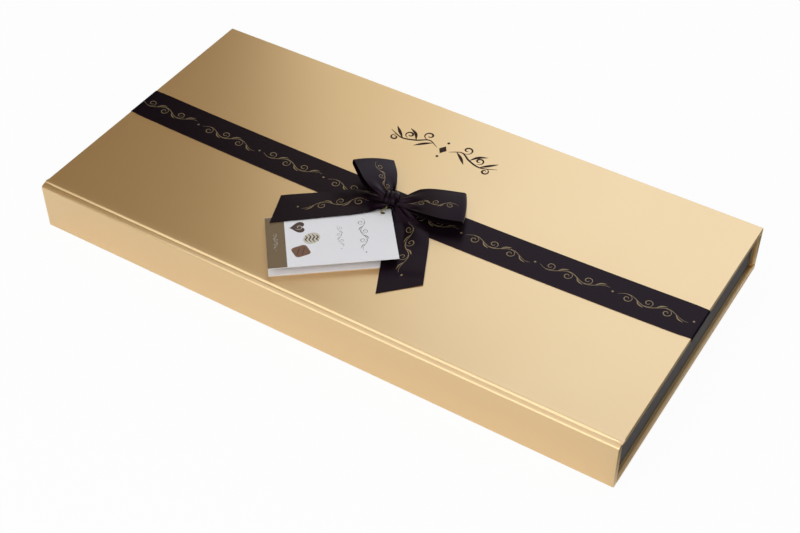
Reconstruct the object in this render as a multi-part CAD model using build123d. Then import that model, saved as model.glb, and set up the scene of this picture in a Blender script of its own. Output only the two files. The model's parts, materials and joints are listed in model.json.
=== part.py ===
from build123d import *
import math
import os

# Gift box of chocolates, built like a book: a lid, a spine and a base of grey
# board under one gold paper, with a magnetic flap along the front of the lid.
# Origin at the middle of the underside, X along the box, front flap at -Y,
# spine at +Y, Z up. Lengths in millimetres, angles in degrees.

# Case
case_length = 365.0
case_depth = 183.0
case_height = 31.0
overrun = 5.0

# Boards and papers
case_board = 2.2
flap_board_stock = 2.8
wrap_paper = 0.2
liner_paper = 0.15
turn_in = 15.0
liner_margin = 1.5

# Creases and running gaps
front_crease = 2.2
spine_crease = 1.4
crease_depth = 0.8
hinge_stand_off = 0.15
flap_clearance = 0.3
flap_foot = 0.3
lid_clearance = 0.3

# Inner tray
tray_board = 1.5
tray_paper = 0.15
tray_end_inset = 3.0
tray_front_inset = 0.3
stay_paper = 0.1
stay_leg = 15.0
stay_end_gap = 2.5

# Magnetic catch
catch_diameter = 12.0
magnet_thickness = 1.5
catch_plate_thickness = 1.0
catch_spacing = 230.0

# Plastic insert
insert_sheet = 0.5
insert_clearance = 0.3
insert_skirt = 6.0
cavity_border = 2.5
cavity_clearance = 0.4
cavity_rib = 3.4
cavity_corner = 4.5
cavity_draft_angle = 5.0

# Pad glued under the lid, over the chocolates
pad_thickness = 2.6
pad_clearance = 0.3
pad_edge_round = 0.9

# Chocolates
chocolate_headroom = 3.55
diagonal_angle = 45.0
square_side = 24.5
square_bevel = 1.6
square_ridge = 1.4
truffle_diameter = 25.4
truffle_wall_height = 7.0
heart_lobe_radius = 7.0
heart_bevel = 1.0
rosette_radius = 12.2
rosette_flutes = 12
rosette_groove_radius = 1.9
rosette_step = 4.2
rosette_button_radius = 6.4
oblong_length = 25.6
oblong_width = 21.5
oblong_round = 6.0
oblong_bar = 2.2

# Ribbon band across the lid
ribbon_width = 24.6
ribbon_thickness = 0.25
band_left_y = 0.9
band_middle_x = -20.0
band_middle_y = -1.1
band_right_y = 4.5
band_tuck = 28.0
tape_length = 34.0
tape_width = 17.0
tape_overlap = 12.0
tape_thickness = 0.1

# Bow knot
knot_x = -0.1
knot_y = -4.3
knot_length = 8.4
knot_width = 9.4
knot_height = 6.3
knot_top_rise = 9.0
knot_turn_angle = 17.5
knot_round = 2.2

# Bow loops, from the middle of the knot
loop_thickness = 0.3
loop_neck_radius = 1.0
loop_end_radius = 2.9
loop_neck_half = 3.0
loop_fan_length = 15.0
left_loop_reach = 35.5
left_loop_bearing = 139.8
left_loop_rise = 2.6
left_loop_tilt = 12.5
right_loop_reach = 40.7
right_loop_bearing = 22.9
right_loop_rise = 2.2
right_loop_tilt = 0.0
loop_axis_drop = 3.4

# Bow tails: along the tail from the knot, and across it
tail_thickness = 0.3
front_tail_bearing = -64.5
front_tail_inner_edge = -1.1
front_tail_curl = 0.2
front_tail_bend = 2.8
front_tail_long_corner = 66.7
front_tail_short_corner = 57.7
front_tail_shoulder = 18.5
front_tail_shoulder_edge = 22.4
front_tail_fan = 12.2
front_tail_fan_edge = 18.3
front_tail_neck = 1.0
front_tail_neck_edge = 5.2
front_tail_root = 5.3
front_tail_root_edge = 1.4
front_tail_relief = 18.7
front_tail_relief_edge = 2.8
front_tail_settle = 40.0
front_tail_tag_lap = 1.08
front_tail_drop_run = 7.0
left_tail_bearing = 220.0
left_tail_near_edge = 3.8
left_tail_curl = 1.0
left_tail_bend = 6.0
left_tail_long_corner = 68.8
left_tail_short_corner = 60.6
left_tail_fan = 19.0
left_tail_neck = 2.0
left_tail_neck_edge = -3.0
left_tail_near_fan = 26.0
left_tail_near_neck_edge = 1.6
left_tail_tilt = 4.3
tail_knot_rise = 4.1
tail_knot_run = 6.0
tail_step_run = 8.0
tail_card_gap = 0.4
tail_lid_gap = 0.1

# Folded gift tag under the bow
tag_length = 70.4
tag_width = 44.8
tag_card = 0.3
tag_turn_angle = 38.2
tag_corner_x = -0.3
tag_corner_y = -5.4
tag_fold_rise = 1.1
tag_foot_gap = 0.1
tag_fold_radius = 0.35
tag_spread = 3.8
tag_hole_radius = 1.6
tag_hole_from_end = 4.7
tag_hole_from_fold = 3.0

# Tag string: a limp cord from the knot, down through the hole of the tag,
# round behind the knot on the band and up into it again
string_diameter = 0.6
string_route = [
    (-0.6, -8.6, 36.6),
    (-1.2, -11.8, 36.1),
    (-2.2, -13.2, 35.0),
    (-2.4, -12.1, 34.0),
    (-2.0, -11.2, 32.5),
    (-2.6, -9.8, 31.62),
    (-5.4, -5.6, 31.62),
    (-8.6, -1.0, 31.66),
    (-8.0, 4.6, 31.64),
    (-3.4, 6.4, 31.8),
    (-1.7, 2.8, 32.4),
    (-1.2, -0.8, 34.7),
]
string_bend_share = 0.45

# Levels, worked out upwards and downwards from the stock
half_length = case_length / 2
front_face = -case_depth / 2
back_face = case_depth / 2
base_board_top = wrap_paper + case_board
base_turn_in_top = base_board_top + wrap_paper
base_floor = base_turn_in_top + liner_paper
lid_top = case_height
lid_board_top = lid_top - wrap_paper
lid_board_bottom = lid_board_top - case_board
lid_turn_in_bottom = lid_board_bottom - wrap_paper
lid_underside = lid_turn_in_bottom - liner_paper
tuck_bottom = lid_underside - ribbon_thickness
tape_bottom = tuck_bottom - tape_thickness
tray_rim = tape_bottom - lid_clearance

# Faces, worked out from front to back
flap_board_front = front_face + wrap_paper
flap_board_back = flap_board_front + flap_board_stock
flap_back = flap_board_back + wrap_paper + liner_paper
base_front = flap_back + flap_clearance
lid_front = flap_back + front_crease
spine_board_back = back_face - wrap_paper
spine_board_front = spine_board_back - case_board
spine_front = spine_board_front - wrap_paper - liner_paper
spine_bottom = base_floor + spine_crease
spine_top = lid_underside - spine_crease
flap_top = lid_top

# Tray, from its outer faces inwards
tray_half_length = half_length - tray_end_inset
tray_front = base_front + tray_front_inset
tray_back = spine_front
tray_skin = tray_paper + stay_paper
tray_wall = tray_skin + tray_board + tray_paper
tray_inner_half = tray_half_length - tray_wall
tray_inner_front = tray_front + tray_wall
tray_inner_back = tray_back - tray_wall
tray_inner_depth = tray_inner_back - tray_inner_front
tray_mid_y = (tray_inner_front + tray_inner_back) / 2
tray_board_bottom = base_floor + tray_paper
tray_board_top = tray_rim - tray_paper
tray_floor_top = tray_board_bottom + tray_board
insert_bottom = tray_floor_top + tray_paper

# Insert and its cavities
pad_top = tape_bottom
pad_bottom = pad_top - pad_thickness
insert_top = pad_bottom - pad_clearance
insert_depth = insert_top - insert_bottom
cavity_floor = insert_bottom + insert_sheet
cavity_depth = insert_top - cavity_floor
chocolate_height = cavity_depth - chocolate_headroom
cavity_draft = cavity_depth * math.tan(math.radians(cavity_draft_angle))
heart_width = heart_lobe_radius * (2 + math.sqrt(2))
widest_chocolate = max(square_side, truffle_diameter, heart_width, 2 * rosette_radius, oblong_length)
least_pitch = widest_chocolate + 2 * (cavity_clearance + cavity_draft) + cavity_rib
grid_length = 2 * (tray_inner_half - cavity_border)
grid_depth = tray_inner_depth - 2 * cavity_border
cavity_columns = int(grid_length // least_pitch)
cavity_rows = int(grid_depth // least_pitch)
column_pitch = grid_length / cavity_columns
row_pitch = grid_depth / cavity_rows
cavity_length = column_pitch - cavity_rib
cavity_width = row_pitch - cavity_rib

# Bow heights above the lid
knot_top = lid_top + knot_top_rise
loop_axis = knot_top - loop_axis_drop
tail_knot_level = lid_top + tail_knot_rise
tag_fold_bottom = lid_top + tag_fold_rise
tag_fold_middle = tag_fold_bottom + tag_card / 2 + tag_fold_radius
tag_fold_top = tag_fold_middle + tag_fold_radius + tag_card / 2
tag_leaf_edge = lid_top + tag_foot_gap + tag_card
front_tail_outer_edge = front_tail_inner_edge + ribbon_width - front_tail_curl
left_tail_far_edge = left_tail_near_edge - ribbon_width + left_tail_curl
tail_off_tag_angle = 90 + front_tail_bearing - tag_turn_angle
front_tail_tag_run = tag_width / math.cos(math.radians(tail_off_tag_angle)) + front_tail_tag_lap
front_tail_landing_run = front_tail_tag_run + front_tail_drop_run
catch_level = case_height / 2


def block(x_range, y_range, z_range):
    """A box between pairs of coordinates."""
    sizes = [high - low for low, high in (x_range, y_range, z_range)]
    middle = [(high + low) / 2 for low, high in (x_range, y_range, z_range)]
    return Pos(*middle) * Box(*sizes)


def wide(half, y_range, z_range):
    """A box that reaches equally far to both ends of the case."""
    return block((-half, half), y_range, z_range)


def prism(points, low, high):
    """A level outline raised between two heights."""
    outline = make_face(Polyline(*points, close=True))
    return extrude(Pos(0, 0, low) * outline, amount=high - low)


def catch_discs(y_near, thickness):
    """The discs of one side of the magnetic catch, standing on edge."""
    disc = Rot(-90, 0, 0) * extrude(Circle(catch_diameter / 2), amount=thickness)
    return [Pos(side * catch_spacing / 2, y_near, catch_level) * disc for side in (-1, 1)]


def grid_places(columns):
    """The middles of the insert's cavities in the given columns."""
    places = []
    for column in columns:
        for row in range(cavity_rows):
            x = (column - (cavity_columns - 1) / 2) * column_pitch
            y = tray_mid_y + (row - (cavity_rows - 1) / 2) * row_pitch
            places.append((x, y))
    return places


def base_parts():
    """Base board, its paper and the liner under the tray."""
    y_range = (base_front, back_face)
    board_y = (base_front + wrap_paper, spine_board_back)
    board_half = half_length - wrap_paper
    board = wide(board_half, board_y, (wrap_paper, base_board_top))
    paper = wide(half_length, y_range, (0, base_turn_in_top))
    paper -= board
    paper -= wide(half_length - turn_in, (base_front - overrun, back_face + overrun),
                  (base_board_top, base_turn_in_top + overrun))
    paper -= wide(half_length - turn_in, board_y, (wrap_paper, base_board_top))
    liner_y = (base_front + liner_margin, spine_front)
    liner = wide(half_length - liner_margin, liner_y, (base_board_top, base_floor))
    liner -= wide(half_length - turn_in - liner_paper, (base_front, back_face),
                  (base_board_top + liner_paper, base_floor + overrun))
    for side in (-1, 1):
        edge = sorted((side * (half_length - turn_in), side * (half_length + overrun)))
        liner -= block(edge, (base_front, back_face), (base_board_top - overrun, base_turn_in_top))
    return {"base_board": board, "base_wrap": paper, "base_liner": liner}


def lid_parts():
    """Lid board, its paper and the liner under it."""
    y_range = (lid_front, back_face)
    board_y = (lid_front + wrap_paper, spine_board_back)
    board_half = half_length - wrap_paper
    board = wide(board_half, board_y, (lid_board_bottom, lid_board_top))
    paper = wide(half_length, y_range, (lid_turn_in_bottom, lid_top))
    paper -= board
    paper -= wide(half_length - turn_in, (lid_front - overrun, back_face + overrun),
                  (lid_turn_in_bottom - overrun, lid_board_bottom))
    liner_y = (lid_front + liner_margin, back_face - liner_margin)
    liner = wide(half_length - liner_margin, liner_y, (lid_underside, lid_board_bottom))
    liner -= wide(half_length - turn_in - liner_paper, y_range,
                  (lid_underside - overrun, lid_board_bottom - liner_paper))
    for side in (-1, 1):
        edge = sorted((side * (half_length - turn_in), side * (half_length + overrun)))
        liner -= block(edge, y_range, (lid_turn_in_bottom, lid_board_bottom + overrun))
    return {"lid_board": board, "lid_wrap": paper, "lid_liner": liner}


def spine_parts():
    """Spine board standing at the back, with its paper inside and out."""
    z_range = (spine_bottom, spine_top)
    board_z = (spine_bottom + wrap_paper, spine_top - wrap_paper)
    board = wide(half_length - wrap_paper, (spine_board_front, spine_board_back), board_z)
    paper = wide(half_length, (spine_board_front - wrap_paper, back_face), z_range) - board
    paper -= wide(half_length - turn_in, (spine_front, spine_board_front),
                  (spine_bottom - overrun, spine_top + overrun))
    liner = wide(half_length - liner_margin, (spine_front, spine_board_front - wrap_paper), z_range)
    return {"spine_board": board, "spine_wrap": paper, "spine_liner": liner}


def flap_parts():
    """Front flap of the lid, with the magnets let into its board."""
    z_range = (flap_foot, flap_top)
    board_z = (flap_foot + wrap_paper, flap_top - wrap_paper)
    board = wide(half_length - wrap_paper, (flap_board_front, flap_board_back), board_z)
    paper = wide(half_length, (front_face, flap_board_back + wrap_paper), z_range) - board
    paper -= wide(half_length - turn_in, (flap_board_back, flap_back + overrun),
                  (flap_foot - overrun, flap_top + overrun))
    liner_y = (flap_board_back + wrap_paper, flap_back)
    liner = wide(half_length - liner_margin, liner_y, (flap_foot + liner_margin, flap_top - liner_margin))
    discs = catch_discs(flap_board_back - magnet_thickness, magnet_thickness)
    board -= discs
    return {"flap_board": board, "flap_wrap": paper, "flap_liner": liner,
            "flap_magnets": Compound(children=discs)}


def crease_strip(start, end, inward):
    """Paper pressed into a crease: a shallow U between two board edges, drawn in Y and Z."""
    (y0, z0), (y1, z1) = start, end
    dy, dz = inward
    path = FilletPolyline((y0, z0), (y0 + dy, z0 + dz), (y1 + dy, z1 + dz), (y1, z1),
                          radius=wrap_paper)
    strip = trace(path, line_width=wrap_paper)
    return Plane.YZ * strip


def crease_parts():
    """The papers in the three creases: lid to flap, lid to spine, spine to base."""
    half = wrap_paper / 2
    ends = (-half_length + liner_margin, half_length - liner_margin)
    front = crease_strip((flap_back + half, lid_board_top), (lid_front - half, lid_board_top),
                         (0, -crease_depth))
    upper = crease_strip((spine_board_back, lid_turn_in_bottom - half),
                         (spine_board_back, spine_top + half), (-crease_depth, 0))
    lower = crease_strip((spine_board_back, spine_bottom - half),
                         (spine_board_back, base_turn_in_top + half), (-crease_depth, 0))
    strips = {}
    for name, face in (("flap_crease", front), ("lid_crease", upper), ("base_crease", lower)):
        strips[name] = Pos(ends[0], 0, 0) * extrude(face, amount=ends[1] - ends[0], dir=(1, 0, 0))
    return strips


def tray_parts():
    """The grey tray: floor, four walls, paper stays on the corners and the paper over all."""
    z_range = (tray_board_bottom, tray_board_top)
    outer_half = tray_half_length - tray_skin
    inner_half = outer_half - tray_board
    front = (tray_front + tray_skin, tray_front + tray_skin + tray_board)
    back = (tray_back - tray_skin - tray_board, tray_back - tray_skin)
    plates = catch_discs(tray_front + tray_skin, catch_plate_thickness)
    parts = {"tray_front_wall": wide(outer_half, front, z_range) - plates,
             "tray_back_wall": wide(outer_half, back, z_range),
             "catch_plates": Compound(children=plates)}
    for name, side in (("tray_left_wall", -1), ("tray_right_wall", 1)):
        x_range = sorted((side * inner_half, side * outer_half))
        parts[name] = block(x_range, (front[1], back[0]), z_range)
    inner_y = (tray_inner_front, tray_inner_back)
    parts["tray_floor"] = wide(tray_inner_half, inner_y, (tray_board_bottom, tray_floor_top))
    parts["tray_floor_paper"] = wide(tray_inner_half, inner_y, (tray_floor_top, insert_bottom))
    skin = wide(tray_half_length, (tray_front, tray_back), (base_floor, tray_rim))
    skin -= wide(tray_inner_half, inner_y, (base_floor - overrun, tray_rim + overrun))
    core = wide(tray_half_length - tray_paper, (tray_front + tray_paper, tray_back - tray_paper), z_range)
    core -= wide(inner_half, (front[1], back[0]), z_range)
    parts["tray_wrap"] = skin - core
    parts["tray_corner_stays"] = Compound(children=corner_stays(outer_half, front[0], back[1]))
    return parts


def corner_stays(outer_half, front_y, back_y):
    """Angles of thin paper glued round the four corners of the tray under its wrap."""
    z_range = (tray_board_bottom + stay_end_gap, tray_board_top - stay_end_gap)
    full = wide(outer_half + stay_paper, (front_y - stay_paper, back_y + stay_paper), z_range)
    full -= wide(outer_half, (front_y, back_y), z_range)
    stays = []
    for x_side in (-1, 1):
        for y_side, edge in ((-1, front_y), (1, back_y)):
            x_range = sorted((x_side * (outer_half - stay_leg), x_side * (outer_half + overrun)))
            y_range = sorted((edge - y_side * stay_leg, edge + y_side * overrun))
            stays.append(full & block(x_range, y_range, z_range))
    return stays


def insert_part():
    """Formed plastic sheet with a tapered cup for every chocolate."""
    half = tray_inner_half - insert_clearance
    y_range = (tray_inner_front + insert_clearance, tray_inner_back - insert_clearance)
    sheet = wide(half, y_range, (insert_top - insert_skirt, insert_top))
    sheet -= wide(half - insert_sheet, (y_range[0] + insert_sheet, y_range[1] - insert_sheet),
                  (insert_top - insert_skirt - overrun, insert_top - insert_sheet))
    opening = RectangleRounded(cavity_length, cavity_width, cavity_corner)
    lip = RectangleRounded(cavity_length + 2 * insert_sheet, cavity_width + 2 * insert_sheet,
                           cavity_corner + insert_sheet)
    cup = extrude(lip, amount=-insert_depth, taper=cavity_draft_angle)
    hollow = extrude(opening, amount=-(insert_depth - insert_sheet), taper=cavity_draft_angle)
    places = [Pos(x, y, insert_top) for x, y in grid_places(range(cavity_columns))]
    sheet += [place * cup for place in places]
    return sheet - [place * hollow for place in places]


def square_praline():
    """Square filled chocolate with a bevelled top and two crossing ridges."""
    body = extrude(RectangleRounded(square_side, square_side, square_bevel),
                   amount=chocolate_height - square_ridge)
    top = body.faces().sort_by(Axis.Z)[-1]
    body = chamfer(top.edges(), square_bevel)
    bar = Box(square_side - 4 * square_bevel, square_ridge, 2 * square_ridge)
    level = chocolate_height - square_ridge
    return body + [Pos(0, 0, level) * Rot(0, 0, side * diagonal_angle) * bar for side in (-1, 1)]


def round_truffle():
    """Domed truffle on a short straight wall."""
    radius = truffle_diameter / 2
    crown = chocolate_height - truffle_wall_height
    dome_radius = (radius ** 2 + crown ** 2) / (2 * crown)
    half_turn = math.asin(radius / dome_radius) / 2
    dome_middle = chocolate_height - dome_radius
    side = Polyline((0, chocolate_height), (0, 0), (radius, 0), (radius, truffle_wall_height))
    dome = ThreePointArc((radius, truffle_wall_height),
                         (dome_radius * math.sin(half_turn),
                          dome_middle + dome_radius * math.cos(half_turn)),
                         (0, chocolate_height))
    outline = make_face(Curve() + [side, dome])
    return revolve(Plane.XZ * outline, axis=Axis.Z)


def heart_praline():
    """Heart of two round lobes and a point."""
    reach = 2 * heart_lobe_radius
    square = Rot(0, 0, diagonal_angle) * Rectangle(reach, reach)
    offset = heart_lobe_radius / math.sqrt(2)
    outline = square + [Pos(side * offset, offset) * Circle(heart_lobe_radius) for side in (-1, 1)]
    body = extrude(Pos(0, -offset / 2) * outline, amount=chocolate_height)
    return chamfer(body.faces().sort_by(Axis.Z)[-1].edges(), heart_bevel)


def rosette_praline():
    """Fluted round chocolate with a stepped button on top."""
    outline = Circle(rosette_radius)
    grooves = PolarLocations(rosette_radius, rosette_flutes)
    outline -= [place * Circle(rosette_groove_radius) for place in grooves]
    body = extrude(outline, amount=chocolate_height - rosette_step)
    button = extrude(Circle(rosette_button_radius), amount=chocolate_height)
    return body + button


def oblong_praline():
    """Rounded oblong chocolate with three bars across."""
    body = extrude(RectangleRounded(oblong_length, oblong_width, oblong_round),
                   amount=chocolate_height - oblong_bar / 2)
    bar = Box(oblong_bar, oblong_width - oblong_round, oblong_bar)
    level = chocolate_height - oblong_bar / 2
    return body + [Pos(step * 2 * oblong_bar, 0, level) * bar for step in (-1, 0, 1)]


def chocolate_parts():
    """Five kinds of chocolate, each in its own columns of the insert."""
    kinds = {"square_pralines": square_praline(), "round_truffles": round_truffle(),
             "heart_pralines": heart_praline(), "rosette_pralines": rosette_praline(),
             "oblong_pralines": oblong_praline()}
    parts = {}
    for index, (name, piece) in enumerate(kinds.items()):
        columns = [column for column in range(cavity_columns)
                   if column * len(kinds) // cavity_columns == index]
        copies = [Pos(x, y, cavity_floor) * piece for x, y in grid_places(columns)]
        parts[name] = Compound(children=[copy.solid() for copy in copies])
    return parts


def pad_part():
    """The padded lining of the lid, which lies just over the insert when the box is closed."""
    half = tray_inner_half - pad_clearance
    y_range = (tray_inner_front + pad_clearance, tray_inner_back - pad_clearance)
    pad = wide(half, y_range, (pad_bottom, pad_top))
    return fillet(pad.edges(), pad_edge_round)


def ribbon_band_part():
    """Band along the lid, bent round both ends and tucked under them."""
    outer_half = half_length + ribbon_thickness
    z_range = (tuck_bottom, lid_top + ribbon_thickness)
    reach = ribbon_width / 2 + max(abs(band_left_y), abs(band_middle_y), abs(band_right_y)) + overrun
    body = wide(outer_half, (-reach, reach), z_range)
    body = fillet(body.edges().filter_by(Axis.Y), ribbon_thickness)
    across = (-reach - overrun, reach + overrun)
    body -= wide(half_length, across, (lid_underside, lid_top))
    body -= wide(half_length - band_tuck, across, (tuck_bottom - overrun, lid_top))
    return body & band_outline(tuck_bottom - overrun, lid_top + overrun)


def band_outline(low, high):
    """Plan of the band: a strip along a shallow curve, raised between two heights."""
    half = ribbon_width / 2
    far = half_length + overrun
    front = ThreePointArc((-far, band_left_y - half), (band_middle_x, band_middle_y - half),
                          (far, band_right_y - half))
    back = ThreePointArc((-far, band_left_y + half), (band_middle_x, band_middle_y + half),
                         (far, band_right_y + half))
    ends = [Line(front @ 0, back @ 0), Line(front @ 1, back @ 1)]
    outline = make_face(Curve() + [front, back] + ends)
    return extrude(Pos(0, 0, low) * outline, amount=high - low)


def ribbon_tapes_part():
    """Tapes that hold the tucked ends of the band to the lid's underside."""
    tapes = []
    for side, middle in ((-1, band_left_y), (1, band_right_y)):
        edge = half_length - band_tuck + tape_overlap
        x_range = sorted((side * edge, side * (edge - tape_width)))
        y_range = (middle - tape_length / 2, middle + tape_length / 2)
        tapes.append(block(x_range, y_range, (tape_bottom, tuck_bottom)))
    return Compound(children=tapes)


def knot_place(level):
    """Place of the knot's middle at a height, not turned."""
    return Pos(knot_x, knot_y, level)


def knot_part():
    """The knot: a pillow of ribbon wrapped round the necks of loops and tails."""
    body = Box(knot_length, knot_width, knot_height)
    body = fillet(body.edges(), knot_round)
    return knot_place(knot_top - knot_height / 2) * Rot(0, 0, knot_turn_angle) * body


def loop_part(reach, bearing, rise, tilt, knot):
    """A loop of ribbon, pinched at the knot and folded round at its end."""
    centre = reach - loop_end_radius
    rings = []
    for wall in (0, loop_thickness):
        circles = [Circle(loop_neck_radius - wall), Pos(centre, 0) * Circle(loop_end_radius - wall)]
        rings.append(make_hull([edge for circle in circles for edge in circle.edges()]))
    side_face = Plane.XZ * (rings[0] - rings[1])
    half = ribbon_width / 2
    band = extrude(side_face, amount=half, both=True)
    fan = [(0, -loop_neck_half), (loop_fan_length, -half), (reach + overrun, -half),
           (reach + overrun, half), (loop_fan_length, half), (0, loop_neck_half)]
    band = band & prism(fan, -reach, reach)
    slope = -math.degrees(math.atan2(rise, reach))
    turned = Rot(0, 0, bearing) * Rot(0, slope, 0) * Rot(tilt, 0, 0) * band
    return (knot_place(loop_axis) * turned - knot).solids().sort_by(SortBy.VOLUME)[-1]


def tail_sheet(path_points, radius, low, high):
    """A strip of ribbon that follows a path in its side view, between two edges."""
    path = FilletPolyline(*path_points, radius=radius)
    strip = extrude(Plane.XZ * trace(path, line_width=tail_thickness), amount=high - low)
    return Pos(0, high, 0) * strip


def front_tail_part(knot):
    """Tail that comes forward out of the knot, over the tag's lower leaf and onto the lid."""
    centre = tail_thickness / 2
    landing = lid_top + tail_lid_gap + centre
    over_fold = tag_fold_bottom + tag_card + tail_thickness
    over_edge = tag_leaf_edge + tail_card_gap + centre
    path = [(0, tail_knot_level), (tail_knot_run, tail_knot_level - centre),
            (tail_knot_run + tail_step_run, over_fold), (front_tail_tag_run, over_edge),
            (front_tail_landing_run, landing), (front_tail_long_corner + overrun, landing)]
    strip = tail_sheet(path, front_tail_bend, front_tail_inner_edge - overrun,
                       front_tail_outer_edge + overrun)
    outline = [(front_tail_root, front_tail_root_edge),
               (front_tail_relief, front_tail_relief_edge),
               (front_tail_settle, front_tail_inner_edge),
               (front_tail_long_corner, front_tail_inner_edge),
               (front_tail_short_corner, front_tail_outer_edge),
               (front_tail_shoulder + tail_step_run, front_tail_outer_edge),
               (front_tail_shoulder, front_tail_shoulder_edge),
               (front_tail_fan, front_tail_fan_edge),
               (front_tail_neck, front_tail_neck_edge)]
    strip = strip & prism(outline, lid_top, knot_top)
    return knot_place(0) * Rot(0, 0, front_tail_bearing) * strip - knot


def left_tail_part(knot):
    """Tail that lies to the left over the folded edge of the tag."""
    over_tag = tag_fold_top + tag_spread * left_tail_near_edge / tag_width + 2 * tail_thickness
    path = [(0, tail_knot_level), (tail_knot_run, tail_knot_level),
            (tail_knot_run + tail_step_run, over_tag), (left_tail_long_corner + overrun, over_tag)]
    strip = tail_sheet(path, left_tail_bend, left_tail_far_edge - overrun,
                       left_tail_near_edge + overrun)
    outline = [(left_tail_neck, left_tail_near_neck_edge),
               (left_tail_near_fan, left_tail_near_edge),
               (left_tail_long_corner, left_tail_near_edge),
               (left_tail_short_corner, left_tail_far_edge),
               (left_tail_fan, left_tail_far_edge),
               (left_tail_neck, left_tail_neck_edge)]
    strip = strip & prism(outline, lid_top, knot_top)
    pivot = Pos(0, left_tail_near_edge, over_tag)
    tilted = pivot * Rot(left_tail_tilt, 0, 0) * pivot.inverse() * strip
    return knot_place(0) * Rot(0, 0, left_tail_bearing) * tilted - knot


def tag_place():
    """Frame of the tag: X runs along the fold from the corner by the knot, Y away from the fold."""
    return Pos(tag_corner_x, tag_corner_y, 0) * Rot(0, 0, 180 + tag_turn_angle)


def tag_part():
    """Card folded along its long edge by the ribbon, its leaves sprung apart."""
    half = tag_card / 2
    low_fold = tag_fold_middle - tag_fold_radius
    high_fold = tag_fold_middle + tag_fold_radius
    low_edge = tag_leaf_edge - half
    lower = Line((tag_width, low_edge), (tag_fold_radius, low_fold))
    fold = ThreePointArc((tag_fold_radius, low_fold), (0, tag_fold_middle), (tag_fold_radius, high_fold))
    upper = Line((tag_fold_radius, high_fold), (tag_width, high_fold + tag_spread))
    side = trace(lower, line_width=tag_card) + trace(fold, line_width=tag_card)
    side += trace(upper, line_width=tag_card)
    card = extrude(Plane.YZ * side, amount=tag_length, dir=(1, 0, 0))
    hole = Pos(tag_hole_from_end, tag_hole_from_fold, lid_top)
    card -= hole * extrude(Circle(tag_hole_radius), amount=knot_top_rise)
    return tag_place() * card


def string_part():
    """The tag's string, round in section, along straight runs joined by tangent arcs."""
    points = [Vector(*point) for point in string_route]
    runs = [(b - a).length for a, b in zip(points, points[1:])]
    radii = []
    for index in range(1, len(points) - 1):
        before = points[index] - points[index - 1]
        after = points[index + 1] - points[index]
        turn = math.radians(before.get_angle(after))
        radii.append(string_bend_share * min(runs[index - 1], runs[index]) / math.tan(turn / 2))
    path = FilletPolyline(*points, radius=radii)
    section = Plane(path @ 0, z_dir=path % 0) * Circle(string_diameter / 2)
    cord = sweep(section, path=path)
    expected = math.pi * (string_diameter / 2) ** 2 * path.length
    print("string radii", [round(radius, 2) for radius in radii])
    print("string length", round(path.length, 2), "volume", round(cord.volume, 3), "of", round(expected, 3))
    return cord


def bow_parts():
    """The bow, the tag tied to it and the band under both."""
    knot = knot_part()
    return {"ribbon_band": ribbon_band_part(), "ribbon_tapes": ribbon_tapes_part(), "bow_knot": knot,
            "bow_left_loop": loop_part(left_loop_reach, left_loop_bearing, left_loop_rise,
                                       left_loop_tilt, knot),
            "bow_right_loop": loop_part(right_loop_reach, right_loop_bearing, right_loop_rise,
                                        right_loop_tilt, knot),
            "bow_front_tail": front_tail_part(knot), "bow_left_tail": left_tail_part(knot),
            "gift_tag": tag_part(), "tag_string": string_part()}


def main():
    """Builds every piece and writes one file for each."""
    os.makedirs("parts", exist_ok=True)
    parts = {}
    for group in (base_parts(), lid_parts(), spine_parts(), flap_parts(), crease_parts(), tray_parts(),
                  chocolate_parts(), bow_parts()):
        parts.update(group)
    parts["insert_tray"] = insert_part()
    parts["lid_pad"] = pad_part()
    for name, shape in parts.items():
        export_step(shape, f"parts/{name}.step")
    print(len(parts), "nodes")
    print("lid hinge y", back_face + hinge_stand_off, "z", (spine_top + lid_turn_in_bottom) / 2)
    print("flap hinge y", (flap_back + lid_front) / 2, "z", lid_board_top - crease_depth / 2)


main()
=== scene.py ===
"""Looks of a gift box of chocolates: gold paper case, ribbon bow, folded tag and the sweets inside."""
import json
import logging
import math
from dataclasses import dataclass
from enum import Enum
from functools import cache
from typing import Callable

import bmesh
import bpy
import numpy as np
from mathutils import Matrix, Vector


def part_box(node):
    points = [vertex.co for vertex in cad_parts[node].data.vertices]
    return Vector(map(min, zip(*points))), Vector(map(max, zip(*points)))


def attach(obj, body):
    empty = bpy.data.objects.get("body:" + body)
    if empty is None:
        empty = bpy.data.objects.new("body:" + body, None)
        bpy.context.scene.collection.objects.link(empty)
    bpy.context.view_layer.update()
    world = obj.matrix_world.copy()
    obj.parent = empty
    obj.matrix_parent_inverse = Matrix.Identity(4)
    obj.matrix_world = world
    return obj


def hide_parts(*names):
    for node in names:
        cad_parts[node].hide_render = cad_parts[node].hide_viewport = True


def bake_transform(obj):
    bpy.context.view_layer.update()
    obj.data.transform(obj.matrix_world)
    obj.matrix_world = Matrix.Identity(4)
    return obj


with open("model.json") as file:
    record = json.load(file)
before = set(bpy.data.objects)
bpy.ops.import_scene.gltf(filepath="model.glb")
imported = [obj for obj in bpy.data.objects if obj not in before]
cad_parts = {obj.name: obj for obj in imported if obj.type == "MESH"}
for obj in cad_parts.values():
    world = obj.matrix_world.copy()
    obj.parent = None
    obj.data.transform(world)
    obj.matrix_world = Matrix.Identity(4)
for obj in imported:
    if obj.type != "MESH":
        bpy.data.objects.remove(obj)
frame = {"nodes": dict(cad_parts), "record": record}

MM = 0.001
TURN = 2 * math.pi
RIBBON_WIDTH = 24.6 * MM
PRINT_LIFT = 0.02 * MM
JOIN_STEP = 0.0001 * MM
RUBBED_SHARE = 0.7
log = logging.getLogger("gift_box")

Pair = tuple[float, float]
Triple = tuple[float, float, float]
Surface = Callable[[np.ndarray, np.ndarray], np.ndarray]
Outline = Callable[[np.ndarray], np.ndarray]


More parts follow.
